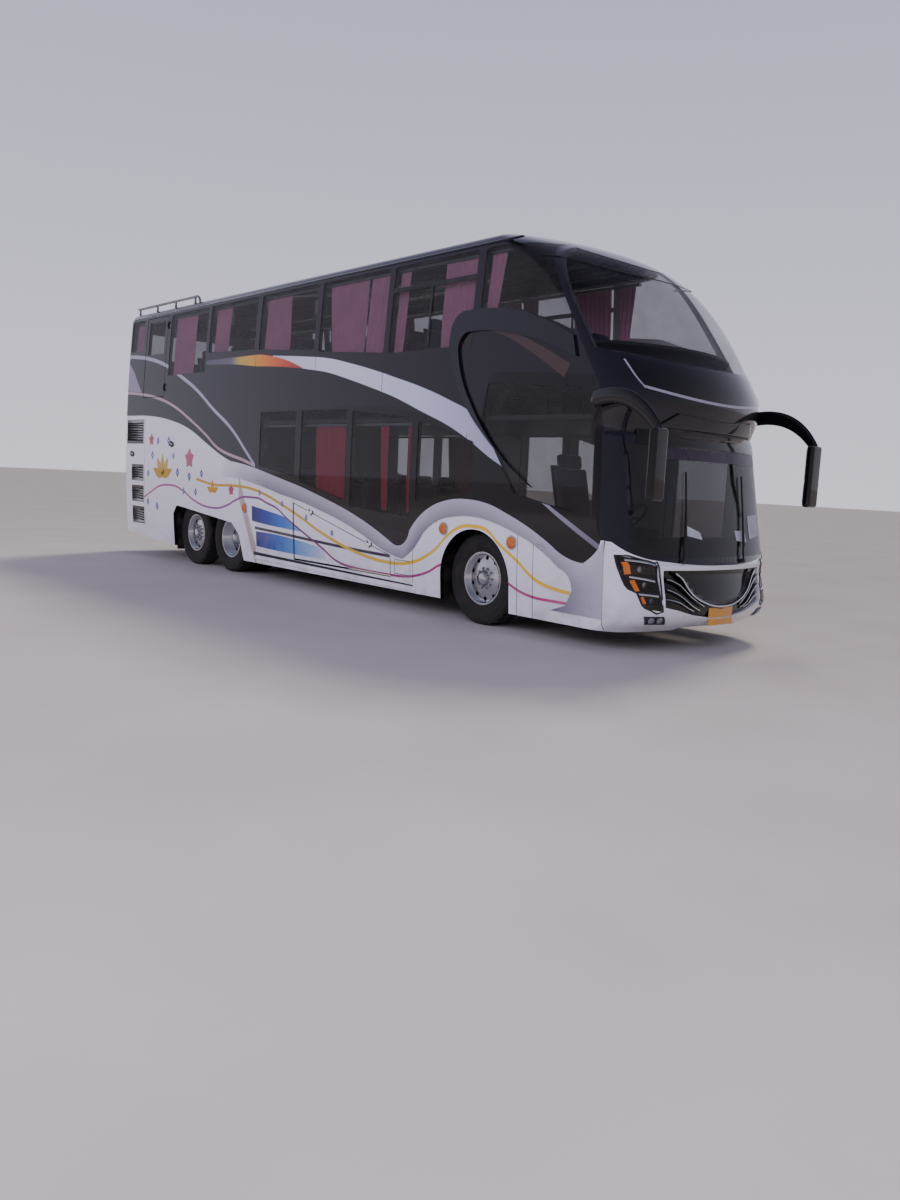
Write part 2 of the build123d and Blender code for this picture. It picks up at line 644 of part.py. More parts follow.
# Bright strip across the nose, above the brow: a band of raised skin between two arcs
NOSE_STRIP = ((-993, 2562), (0, 2460), (993, 2562))
NOSE_STRIP_PROUD = 14
NOSE_STRIP_WIDTH = 26
half = NOSE_STRIP_WIDTH / 2
strip_edges = [ThreePointArc(*[(y, z + rise) for y, z in NOSE_STRIP]) for rise in (half, -half)]
strip_edges += [Line(strip_edges[0] @ end, strip_edges[1] @ end) for end in (0, 1)]
strip_form = extrude(Plane.YZ.offset(HEADLAMP_BACK_X - 150) * make_face(strip_edges), amount=900)
save("nose_strip", [(hull(-NOSE_STRIP_PROUD) - ON_SKIN) & strip_form])

# Mouldings that stand proud of the sides
WAVE_TOP = [(-2200, 1720), (-1500, 1660), (-1000, 1580), (-500, 1490), (0, 1400), (500, 1290), (1000, 1170),
            (1600, 985), (2080, 790), (2250, 790), (2400, 970), (2620, 1180), (2900, 1320), (3150, 1378),
            (3420, 1390), (3700, 1365), (4000, 1280), (4400, 1130), (4700, 980), (4950, 870), (5120, 850),
            (5230, 930), (5364, 1085)]
WAVE_FOOT = [(4980, 560), (4955, 660), (4800, 770), (4500, 950), (4200, 1065), (4000, 1125), (3700, 1190),
             (3420, 1210), (3150, 1185), (2900, 1125), (2620, 940), (2400, 715), (2250, 625), (2080, 650),
             (1600, 800), (1000, 990), (500, 1100), (0, 1200), (-500, 1270), (-1000, 1360), (-1500, 1430),
             (-1900, 1470), (-2200, 1480)]
WAVE_PROUD = 14
MOULDING_GAP = HINGE_REACH + 6
wave_edges = arcs_through(WAVE_TOP)
wave_corner = [WAVE_TOP[-1], (5364, 330), (4700, 330), (4900, 400), WAVE_FOOT[0]]
wave_edges += [Line(start, end) for start, end in zip(wave_corner, wave_corner[1:])]
wave_edges += arcs_through(WAVE_FOOT)
wave_edges.append(Line(WAVE_FOOT[-1], WAVE_TOP[0]))
wave_form = curved_side_prism(wave_edges, -1900, -900)
proud_skin = barrel_skin(-WAVE_PROUD, -SEAT_GAP)
wave = proud_skin & wave_form
wave_left = mirrored(wave)
for door in (MIDDLE_DOOR, FRONT_DOOR):
    wave_left -= box(door[0] - MOULDING_GAP, door[1] + MOULDING_GAP, 0, 1900, 0, 2400)
save("wave_mouldings", [wave, wave_left])

HOOP_PROUD = 30
HOOP_OUTER = [(4380, 1560), (4000, 1800), (3560, 2150), (3250, 2480), (3060, 2800), (2960, 3060),
              (2970, 3280), (3060, 3400), (3220, 3440), (3600, 3430), (4000, 3370), (4400, 3240),
              (4800, 3060)]
HOOP_INNER = [(4860, 2850), (4600, 2955), (4300, 3060), (4000, 3130), (3700, 3185), (3400, 3210),
              (3230, 3205), (3140, 3140), (3110, 3020), (3190, 2760), (3360, 2470), (3700, 2060),
              (4120, 1720)]
hoop_edges = arcs_through(HOOP_OUTER)
hoop_edges.append(Line(HOOP_OUTER[-1], HOOP_INNER[0]))
hoop_edges += arcs_through(HOOP_INNER)
hoop_edges.append(Line(HOOP_INNER[-1], HOOP_OUTER[0]))
hoop_form = curved_side_prism(hoop_edges, -1900, -900)
hoop = barrel_skin(-HOOP_PROUD, -SEAT_GAP) & hoop_form
hoop_left = mirrored(hoop) - box(FRONT_DOOR[0] - MOULDING_GAP, FRONT_DOOR[1] + MOULDING_GAP, 0, 1900, 0, 2400)
save("hoop_mouldings", [hoop, hoop_left])

# Floors
def deck(x0, x1, half_width, z, depth=FLOOR):
    """Floor panel with its top at a height."""
    return box(x0, x1, -half_width, half_width, z - depth, z)


FLOOR_HALF = 1400
AISLE_HALF = 480
DOOR_STEP = (4215, 5150, 780)
ENGINE_WELL = (-5905, -4250, 520)
low_floor = deck(*LOW_FLOOR_X, FLOOR_HALF, LOW_FLOOR_Z)
front_riser = box(LOW_FLOOR_X[1] - FLOOR, LOW_FLOOR_X[1], -AISLE_HALF, AISLE_HALF,
                  LOW_FLOOR_Z + SEAT_GAP, DRIVER_FLOOR_Z)
driver_aisle = deck(LOW_FLOOR_X[1] + SEAT_GAP, DRIVER_FLOOR_X, AISLE_HALF, DRIVER_FLOOR_Z)
driver_floor = deck(DRIVER_FLOOR_X + SEAT_GAP, 5650, FLOOR_HALF, DRIVER_FLOOR_Z)
driver_floor -= box(*DOOR_STEP, FLOOR_HALF, DRIVER_FLOOR_Z - FLOOR, DRIVER_FLOOR_Z)
rear_step_x = (LOW_FLOOR_X[0], LOW_FLOOR_X[0] + FLOOR)
rear_riser = box(*rear_step_x, -FLOOR_HALF, FLOOR_HALF, LOW_FLOOR_Z + SEAT_GAP, REAR_FLOOR_Z - FLOOR - SEAT_GAP)
rear_floor = deck(-5900, rear_step_x[1], FLOOR_HALF, REAR_FLOOR_Z)
rear_floor -= box(*ENGINE_WELL[:2], -ENGINE_WELL[2], ENGINE_WELL[2], 0, REAR_FLOOR_Z)
lower_deck = (low_floor, front_riser, driver_aisle, driver_floor, rear_riser, rear_floor)
save("lower_floor", [panel & LINING for panel in lower_deck])
upper_deck = deck(-5900, 5480, FLOOR_HALF, UPPER_FLOOR_Z) & LINING
save("upper_floor", [upper_deck])

# Chassis frame: side rails and cross members
RAIL_Y = (350, 430)
FRONT_RAIL_Z = (600, DRIVER_FLOOR_Z - FLOOR - SEAT_GAP)
LOW_RAIL_Z = (290, LOW_FLOOR_Z - FLOOR - SEAT_GAP)
REAR_RAIL_Z = (740, 880)
FRONT_KICK_X = (2700, 2780)
REAR_KICK_X = (-1560, -1480)
RAILS = (
    (FRONT_KICK_X[0], 5560, *FRONT_RAIL_Z),
    (REAR_KICK_X[0], FRONT_KICK_X[1], *LOW_RAIL_Z),
    (-5850, REAR_KICK_X[1], *REAR_RAIL_Z),
)
frame = None
for x0, x1, z0, z1 in RAILS:
    for side in (1, -1):
        rail = box(x0, x1, side * RAIL_Y[0], side * RAIL_Y[1], z0, z1)
        frame = rail if frame is None else frame + rail
for side in (1, -1):
    frame += box(*FRONT_KICK_X, side * RAIL_Y[0], side * RAIL_Y[1], LOW_RAIL_Z[0], FRONT_RAIL_Z[1])
    frame += box(*REAR_KICK_X, side * RAIL_Y[0], side * RAIL_Y[1], LOW_RAIL_Z[0], REAR_RAIL_Z[1])
# Cross members: middle, rail they join
CROSS_MEMBERS = (
    (5300, FRONT_RAIL_Z),
    (4300, FRONT_RAIL_Z),
    (2740, FRONT_RAIL_Z),
    (1800, LOW_RAIL_Z),
    (600, LOW_RAIL_Z),
    (-600, LOW_RAIL_Z),
    (-1520, LOW_RAIL_Z),
    (-2800, REAR_RAIL_Z),
    (-4000, REAR_RAIL_Z),
)
for x, rail_z in CROSS_MEMBERS:
    frame += box(x - 40, x + 40, -RAIL_Y[0], RAIL_Y[0], *rail_z)
save("chassis_frame", [frame])

# Wheel housings: open below and on the outside
HOUSING = 20
housings = []
for x0, x1, inner_y, top in ((2870, 4180, 485, 1125), (-3985, -1580 + HOUSING, 455, 1105)):
    cover = box(x0, x1, inner_y, 1190, 200, top)
    cover -= box(x0 + HOUSING, x1 - HOUSING, inner_y + HOUSING, 1300, 0, top - HOUSING)
    for axle_x in (FRONT_AXLE_X, DRIVE_AXLE_X, TAG_AXLE_X):
        cover -= box(axle_x - 150, axle_x + 150, inner_y - 5, inner_y + HOUSING + 5, 0, 690)
    housings += [cover & LINING, mirrored(cover) & LINING]
save("wheel_housings", housings)


# Wheels
def tyre(x, outer_y):
    """Tyre as a ring, turned about its axle."""
    centre = outer_y - TYRE_WIDTH / 2
    half_section = [(RIM_SEAT + SEAT_GAP, BEAD_HALF), (RIM_RADIUS + 4, BEAD_HALF), (400, TYRE_WIDTH / 2),
                    (TYRE_RADIUS - 28, TYRE_WIDTH / 2 - 10), (TYRE_RADIUS, TYRE_WIDTH / 2 - 42)]
    outline = [(radius, centre - y) for radius, y in half_section]
    outline += [(radius, centre + y) for radius, y in reversed(half_section)]
    return turned(outline, x)


def turned(outline, x):
    """Ring of a (radius, y) outline turned about a wheel axis."""
    face = make_face(Polyline(*outline, close=True))
    return Pos(x, 0, TYRE_RADIUS) * revolve(face, Axis.Y)


def ring(inner, outer, y0, y1, x):
    """Plain ring about a wheel axis."""
    return turned([(inner, y0), (outer, y0), (outer, y1), (inner, y1)], x)


def rim(x, outer_y, face_depth, hub_reach):
    """Dished steel rim with its hub. face_depth is how far the disc lies in from the flange."""
    centre = outer_y - TYRE_WIDTH / 2
    flange = centre + BEAD_HALF + SEAT_GAP
    inner = centre - BEAD_HALF - SEAT_GAP
    disc = flange - face_depth
    barrel = RIM_SEAT - RIM_WALL
    bore = SPINDLE_RADIUS + RUN
    outline = [(RIM_SEAT, inner), (RIM_RADIUS, inner), (RIM_RADIUS, inner - FLANGE), (barrel, inner - FLANGE),
               (barrel, disc - 30), (120, disc - 14), (60, disc - 14), (60, disc - 60), (bore, disc - 60),
               (bore, disc + 10), (0, disc + 10), (0, disc + hub_reach), (70, disc + hub_reach),
               (84, disc + 12), (140, disc), (barrel, disc - 16), (barrel, flange + FLANGE),
               (RIM_RADIUS, flange + FLANGE), (RIM_RADIUS, flange), (RIM_SEAT, flange)]
    form = turned(outline, x)
    for i in range(HAND_HOLES):
        turn = radians(360 * i / HAND_HOLES)
        spot = (x + HAND_HOLE_CIRCLE * sin(turn), TYRE_RADIUS + HAND_HOLE_CIRCLE * cos(turn))
        form -= round_bar((spot[0], disc - 40, spot[1]), (spot[0], disc + 5, spot[1]), HAND_HOLE_RADIUS)
    return form


for side_name, side in (("right", -1), ("left", 1)):
    for place, x, depth, hub, twin in (("front", FRONT_AXLE_X, DISC_DEPTH, 62, False),
                                       ("drive", DRIVE_AXLE_X, TWIN_DISC_DEPTH, 110, True),
                                       ("tag", TAG_AXLE_X, DISC_DEPTH, 62, False)):
        tyres = [tyre(x, TYRE_OUTER_Y)]
        rims = [rim(x, TYRE_OUTER_Y, depth, hub)]
        if twin:
            inner_y = TYRE_OUTER_Y - TYRE_WIDTH - TWIN_GAP
            tyres.append(tyre(x, inner_y))
            barrel = RIM_SEAT - RIM_WALL
            disc_back = FLANGE_Y - depth - 18
            inner_rim = ring(barrel, RIM_SEAT, inner_y - TYRE_WIDTH + 38, inner_y - 38, x)
            link = ring(200, barrel, inner_y - 60, inner_y - 40, x)
            drum = ring(185, 200, inner_y - 60, disc_back, x)
            rims = [rims[0] + inner_rim + link + drum]
        if side < 0:
            tyres = [mirrored(t) for t in tyres]
            rims = [mirrored(r) for r in rims]
        save(f"tyre_{place}_{side_name}", tyres)
        save(f"rim_{place}_{side_name}", rims)

# Front axle with its kingpins, and the knuckles that turn on them
KINGPIN_RADIUS = 22
BEAM_Z = (400, 520)
SPRING_Y = 345
SPRING_RADIUS = 95
FRONT_DISC_Y = FLANGE_Y - DISC_DEPTH
DRIVE_DISC_Y = FLANGE_Y - TWIN_DISC_DEPTH
EYE_Z = (430, 600)
EAR = 50


def air_spring(x, y, z0, z1):
    """Air spring between an axle and the frame."""
    return round_bar((x, y, z0 + SEAT_GAP), (x, y, z1 - SEAT_GAP), SPRING_RADIUS)


def upright(y, z0, z1, radius):
    """Round bar along a kingpin's line."""
    return round_bar((FRONT_AXLE_X, y, z0), (FRONT_AXLE_X, y, z1), radius)


def level_bar(x, y0, y1, radius):
    """Round bar along a wheel axis."""
    return round_bar((x, y0, TYRE_RADIUS), (x, y1, TYRE_RADIUS), radius)


KNUCKLE_HALF = 45
knuckle_x = (FRONT_AXLE_X - KNUCKLE_HALF, FRONT_AXLE_X + KNUCKLE_HALF)
knuckle_z = (EYE_Z[0] - EAR - 5, EYE_Z[1] + EAR + 5)
beam = box(FRONT_AXLE_X - 55, FRONT_AXLE_X + 55, -KINGPIN_Y + 60, KINGPIN_Y - 60, *BEAM_Z)
front_springs = []
for side in (1, -1):
    pin_y = side * KINGPIN_Y
    beam += box(*knuckle_x, side * (KINGPIN_Y - 120), pin_y, 440, BEAM_Z[1])
    beam += upright(pin_y, *EYE_Z, 52)
    beam += upright(pin_y, knuckle_z[0] - 3, knuckle_z[1] + 3, KINGPIN_RADIUS)
    front_springs.append(air_spring(FRONT_AXLE_X, side * SPRING_Y, BEAM_Z[1], FRONT_RAIL_Z[0]))
save("front_axle_beam", [beam])

for side_name, side in (("right", -1), ("left", 1)):
    knuckle = box(*knuckle_x, KINGPIN_Y + 60, KINGPIN_Y + 95, *knuckle_z)
    for z in (knuckle_z[0], knuckle_z[1] - EAR):
        knuckle += upright(KINGPIN_Y, z, z + EAR, KNUCKLE_HALF)
        knuckle += box(*knuckle_x, KINGPIN_Y, KINGPIN_Y + 70, z, z + EAR)
    knuckle -= upright(KINGPIN_Y, 100, 900, KINGPIN_RADIUS + RUN)
    knuckle += level_bar(FRONT_AXLE_X, KINGPIN_Y + 90, FRONT_DISC_Y + 5, SPINDLE_RADIUS)
    knuckle += level_bar(FRONT_AXLE_X, KINGPIN_Y + 90, KINGPIN_Y + 125, 110)
    save(f"knuckle_{side_name}", [mirrored(knuckle) if side < 0 else knuckle])

ENGINE = (-5700, -4450, 600, 1650)
SPRING_SEAT_Z = 620
shaft_joint = (DRIVE_AXLE_X - 350, 0, TYRE_RADIUS + 60)
drive_axle = level_bar(DRIVE_AXLE_X, -870, 870, 80)
drive_axle += level_bar(DRIVE_AXLE_X, -DRIVE_DISC_Y - 5, DRIVE_DISC_Y + 5, SPINDLE_RADIUS)
drive_axle += level_bar(DRIVE_AXLE_X, -150, 150, 205)
drive_axle += round_bar((DRIVE_AXLE_X, 0, TYRE_RADIUS + 40), shaft_joint, 110)
drive_axle += round_bar(shaft_joint, (ENGINE[1] + 12, 0, TYRE_RADIUS + 60), 45)
drive_springs = []
for side in (1, -1):
    seat_y = (side * (SPRING_Y - 70), side * (SPRING_Y + 70))
    drive_axle += box(DRIVE_AXLE_X - 70, DRIVE_AXLE_X + 70, *seat_y, TYRE_RADIUS, SPRING_SEAT_Z)
    drive_springs.append(air_spring(DRIVE_AXLE_X, side * SPRING_Y, SPRING_SEAT_Z, REAR_RAIL_Z[0]))
save("drive_axle", [drive_axle])

TAG_BEAM = [(-870, 480), (-560, 480), (-480, 370), (480, 370), (560, 480), (870, 480), (870, 560), (540, 560),
            (460, 450), (-460, 450), (-540, 560), (-870, 560)]
tag_axle = extrude(Plane.YZ.offset(TAG_AXLE_X - 50) * flat_face(TAG_BEAM), amount=100)
for side in (1, -1):
    tag_axle += level_bar(TAG_AXLE_X, side * 860, side * (FRONT_DISC_Y + 5), SPINDLE_RADIUS)
save("tag_axle", [tag_axle])
tag_springs = [air_spring(TAG_AXLE_X, side * SPRING_Y, 450, REAR_RAIL_Z[0]) for side in (1, -1)]
save("air_springs", front_springs + drive_springs + tag_springs)

# Engine block and fuel tank
save("engine_block", [box(ENGINE[0], ENGINE[1], -RAIL_Y[0] + SEAT_GAP, RAIL_Y[0] - SEAT_GAP, *ENGINE[2:])])
tank = box(4420, 5220, -420, 420, 330, FRONT_RAIL_Z[0] - SEAT_GAP)
tank = fillet(tank.edges().filter_by(Axis.Y), 60)
save("fuel_tank", [tank])

# Mirrors on their arms
MIRROR_ROOT = (5180, 1330, 2420)
FRONT_X = -(REAR_X - LID_AXIS_OUT - HINGE_BARREL)
MIRROR_TIP = (FRONT_X - 50, 1372, 2130)
# Blade-shaped arm: share of its run, half its thickness, half its height
ARM_SECTIONS = ((0, 28, 78), (0.5, 25, 72), (1, 18, 48))
arm_path = ThreePointArc(MIRROR_ROOT, (5640, 1378, 2410), MIRROR_TIP)
arm_faces = [Plane(origin=arm_path @ share, z_dir=arm_path % share, x_dir=(0, 1, 0)) * Ellipse(thick, tall)
             for share, thick, tall in ARM_SECTIONS]
arm = loft(arm_faces)
arm += round_bar((MIRROR_ROOT[0], 1200, MIRROR_ROOT[2]), (MIRROR_ROOT[0], MIRROR_ROOT[1], MIRROR_ROOT[2]), 46)
arm -= ON_SKIN
head = box(FRONT_X - 90, FRONT_X, 1272, 1472, 1490, 2150)
head = fillet(head.edges(), 34)
mirror_piece = arm + head
save("mirrors", [mirror_piece, mirrored(mirror_piece)])

# Wipers
WIPER_Z = 918
WIPER_TIP_Z = 1780


def screen_x(y, z):
    """Foremost point of the lower screen's surface at a place."""
    (low_z, low_x, radius, _), (high_z, high_x, _, _) = SCREEN_SECTIONS
    centre_x = low_x + (z - low_z) * (high_x - low_x) / (high_z - low_z)
    return centre_x - radius + sqrt(radius ** 2 - y ** 2)


WIPER_OUT = 22
wipers = []
for y, tip_y in ((-620, -480), (360, 500)):
    foot_x = screen_x(y, WIPER_Z)
    blade_y = y + 60
    blade_z = WIPER_Z + 150
    blade_foot = Vector(screen_x(blade_y, blade_z) + WIPER_OUT, blade_y, blade_z)
    blade_tip = Vector(screen_x(tip_y, WIPER_TIP_Z) + WIPER_OUT, tip_y, WIPER_TIP_Z)
    blade_middle = (blade_foot + blade_tip) / 2
    arm = round_bar((foot_x - 40, y, WIPER_Z), (foot_x + 38, y, WIPER_Z), 20)
    arm += round_bar((foot_x + 30, y, WIPER_Z), blade_middle, 10)
    arm += round_bar(blade_foot, blade_tip, 9)
    wipers.append(arm - ON_SKIN)
save("wipers", wipers)

# Rear roof rack
RACK_Y = 1060
RACK_X = (-5850, -3600)
RACK_TOP = 4335
RACK_BEND = 110
RACK_TUBE = 20
POST_TUBE = 17
POST_INSET = 60
rack = []
for side in (1, -1):
    y = side * RACK_Y
    bend_middle = (RACK_X[1] + RACK_BEND * sin(radians(45)), y, RACK_TOP - RACK_BEND * (1 - cos(radians(45))))
    bend = ThreePointArc((RACK_X[1], y, RACK_TOP), bend_middle, (RACK_X[1] + RACK_BEND, y, RACK_TOP - RACK_BEND))
    run = Wire([Edge.make_line((RACK_X[0], y, RACK_TOP), (RACK_X[1], y, RACK_TOP)), bend.edge()])
    rail = sweep(Plane(origin=(RACK_X[0], y, RACK_TOP), z_dir=(1, 0, 0)) * Circle(RACK_TUBE), path=run)
    for i in range(4):
        x = RACK_X[0] + POST_INSET + i * (RACK_X[1] - RACK_X[0] - 2 * POST_INSET) / 3
        rail += round_bar((x, y, 4100), (x, y, RACK_TOP), POST_TUBE)
    rack.append(rail - ON_SKIN)
save("roof_rack", rack)

# Driver's place
DASH = [(5230, 1000), (5300, 1120), (5560, 1120), (5640, 960), (5640, DRIVER_FLOOR_Z + SEAT_GAP),
        (5450, DRIVER_FLOOR_Z + SEAT_GAP), (5400, 900)]
dash = side_prism(DASH, -1150, 1150) & LINING
column_foot = (5330, -560, 1010)
wheel_centre = (5060, -560, 1290)
column = round_bar(column_foot, wheel_centre, 26)
axis = Vector(*wheel_centre) - Vector(*column_foot)
steering = Plane(origin=wheel_centre, z_dir=axis) * Torus(225, 15)
spokes = Plane(origin=wheel_centre, z_dir=axis) * (Box(440, 30, 18) + Box(30, 440, 18))
save("dashboard", [dash + column + steering + spokes])


# Outline of a seat from the side: how far forward and how high of its rear foot
SEAT_OUTLINE = ((0, SEAT_GAP), (420, SEAT_GAP), (420, 330), (520, 330), (520, 470), (110, 450), (-60, 1180),
                (-160, 1150), (0, 420))


def seat(x, y0, y1, floor_z):
    """Seat with its back, as one block on its base."""
    return side_prism([(x + forward, floor_z + up) for forward, up in SEAT_OUTLINE], y0, y1)


seats = [seat(4330, -820, -330, DRIVER_FLOOR_Z)]
for row in range(10):
    for y0, y1 in ((-1110, -220), (220, 1110)):
        seats.append(seat(-5250 + 960 * row, y0, y1, UPPER_FLOOR_Z))
for row in range(3):
    for y0, y1 in ((-1110, -220), (220, 1110)):
        seats.append(seat(-1200 + 920 * row, y0, y1, LOW_FLOOR_Z))
save("seats", seats)

# Curtains and the rails they hang from
RAIL_DEPTH = 50
RAIL_HEIGHT = 30
UPPER_RAIL_Z = 4030
LOWER_RAIL_Z = 2210
rail_skin = barrel_skin(WALL + SEAT_GAP, WALL + RAIL_DEPTH)
doorway = box(MIDDLE_DOOR[0] - 30, MIDDLE_DOOR[1] + 30, 0, 1900, 0, MIDDLE_DOOR[3])
rails = []
for x0, x1, z in ((-5800, 3700, UPPER_RAIL_Z), (-1450, 3500, LOWER_RAIL_Z)):
    rail = rail_skin & box(x0, x1, -1900, 0, z, z + RAIL_HEIGHT)
    rails += [rail, mirrored(rail) - doorway]
save("curtain_rails", rails)
# Rear edge, front edge, hem, rail
CURTAINS = (
    (-5780, -5380, 3500, UPPER_RAIL_Z),
    (-4230, -3480, 3020, UPPER_RAIL_Z),
    (-3120, -2960, 3020, UPPER_RAIL_Z),
    (-2830, -2350, 3300, UPPER_RAIL_Z),
    (-1280, -640, 3240, UPPER_RAIL_Z),
    (310, 1180, 3040, UPPER_RAIL_Z),
    (1220, 1690, 3040, UPPER_RAIL_Z),
    (1810, 2010, 3020, UPPER_RAIL_Z),
    (2640, 3260, 3020, UPPER_RAIL_Z),
    (3400, 3640, 3400, UPPER_RAIL_Z),
    (200, 1020, 1260, LOWER_RAIL_Z),
    (1640, 1820, 1180, LOWER_RAIL_Z),
    (2190, 2370, 1180, LOWER_RAIL_Z),
)
cloth_skin = barrel_skin(WALL + 14, WALL + 44)
curtains = []
for x0, x1, hem, rail_z in CURTAINS:
    curtain = cloth_skin & box(x0, x1, -1900, 0, hem, rail_z - SEAT_GAP)
    curtains.append(curtain)
    if rail_z == UPPER_RAIL_Z or x1 < MIDDLE_DOOR[0]:
        curtains.append(mirrored(curtain))
save("curtains", curtains)
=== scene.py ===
import json
import math

import bmesh
import bpy
from mathutils import Matrix, Vector
from mathutils.bvhtree import BVHTree

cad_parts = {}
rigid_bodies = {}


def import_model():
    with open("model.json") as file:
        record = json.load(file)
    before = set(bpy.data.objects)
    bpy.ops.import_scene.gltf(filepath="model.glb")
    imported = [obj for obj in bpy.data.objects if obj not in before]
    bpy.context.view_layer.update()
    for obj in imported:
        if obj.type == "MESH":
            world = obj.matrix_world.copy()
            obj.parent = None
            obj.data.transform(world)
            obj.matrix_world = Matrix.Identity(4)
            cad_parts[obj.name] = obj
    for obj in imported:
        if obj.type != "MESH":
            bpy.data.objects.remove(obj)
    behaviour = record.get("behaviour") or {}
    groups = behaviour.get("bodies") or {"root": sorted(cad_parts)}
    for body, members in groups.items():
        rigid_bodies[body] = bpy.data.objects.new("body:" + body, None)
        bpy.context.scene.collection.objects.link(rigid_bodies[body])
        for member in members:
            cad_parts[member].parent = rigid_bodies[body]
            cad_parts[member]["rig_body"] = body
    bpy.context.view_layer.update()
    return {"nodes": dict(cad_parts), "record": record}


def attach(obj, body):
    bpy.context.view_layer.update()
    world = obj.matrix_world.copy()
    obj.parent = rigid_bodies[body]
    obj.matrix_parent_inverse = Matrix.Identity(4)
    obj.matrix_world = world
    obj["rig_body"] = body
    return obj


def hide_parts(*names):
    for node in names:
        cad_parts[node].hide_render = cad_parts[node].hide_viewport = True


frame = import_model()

NODES = frame["nodes"]
SLOT_OF = {s["node"]: s["material_slot"] for s in frame["record"]["subparts"]}
COACH = "coach_body"
SIDES = (("right", -1), ("left", 1))

# Range of the livery curves, in metres along and up the side
LIVERY_X = (-6.2, 6.2)
LIVERY_Z = 5.0
# Half the width over which a painted edge goes soft, and half a seam
EDGE_SOFT = 0.004
SEAM_HALF = 0.004

# Side of the body: an arc below the waist and a flatter one above it
WAIST_Z = 1.65
WAIST_HALF = 1.275
ARC_BELOW, ARC_ABOVE = 16.5, 27.0

# Points closer than this are joined: in CAD meshes, in turned forms and in wheels
CAD_WELD, LATHE_WELD, WHEEL_WELD = 0.00002, 0.00004, 0.00005


# Colours and nodes
def tint(code, strength=1.0):
    """Linear colour of an sRGB hex value."""
    channels = [int(code[i:i + 2], 16) / 255 for i in (0, 2, 4)]
    linear = [c / 12.92 if c <= 0.04045 else ((c + 0.055) / 1.055) ** 2.4 for c in channels]
    return tuple(c * strength for c in linear) + (1.0,)


def add(tree, kind, inputs=None, **settings):
    """Shader node with its settings, and its inputs either linked or set."""
    node = tree.nodes.new("ShaderNode" + kind)
    for name, value in settings.items():
        setattr(node, name, value)
    for key, value in (inputs or {}).items():
        if isinstance(value, bpy.types.NodeSocket):
            tree.links.new(value, node.inputs[key])
        else:
            node.inputs[key].default_value = value
    return node


def sums(tree, operation, a, b=0.0, c=0.0):
    """Result of a sum on two or three values."""
    return add(tree, "Math", {0: a, 1: b, 2: c}, operation=operation).outputs[0]


def mixed(tree, share, a, b):
    """Colour a going to colour b."""
    return add(tree, "Mix", {0: share, 6: a, 7: b}, data_type="RGBA").outputs[2]


def grain(tree, place, mm, detail=2.0, rough=0.5):
    """Noise whose blotches are about mm across."""
    inputs = {"Vector": place, "Scale": 1000 / mm, "Detail": detail, "Roughness": rough}
    return add(tree, "TexNoise", inputs).outputs["Fac"]


def spread(tree, value, low, high, to_low=0.0, to_high=1.0):
    """Value carried from one range to another, and kept inside it."""
    return add(tree, "MapRange", {0: value, 1: low, 2: high, 3: to_low, 4: to_high}).outputs[0]


def finish(name, **shader_inputs):
    """New material: itself, its tree, its shader and the place on the piece."""
    made = bpy.data.materials.new(name)
    made.use_nodes = True
    tree = made.node_tree
    tree.nodes.clear()
    shader = add(tree, "BsdfPrincipled", {key.replace("_", " "): value for key, value in shader_inputs.items()})
    add(tree, "OutputMaterial", {"Surface": shader.outputs[0]})
    return made, tree, shader, add(tree, "TexCoord").outputs["Object"]


def relief(tree, shader, height, mm, strength=1.0):
    """Bump of that depth in millimetres."""
    bump = add(tree, "Bump", {"Height": height, "Distance": mm / 1000, "Strength": strength})
    tree.links.new(bump.outputs[0], shader.inputs["Normal"])


def coloured(tree, shader, colour, roughness=None):
    tree.links.new(colour, shader.inputs["Base Color"])
    if roughness is not None:
        tree.links.new(roughness, shader.inputs["Roughness"])


# Livery: stripes drawn on x and z, the same on both sides
def along(x):
    """Share of the livery's range at a place along the side."""
    return (x - LIVERY_X[0]) / (LIVERY_X[1] - LIVERY_X[0])


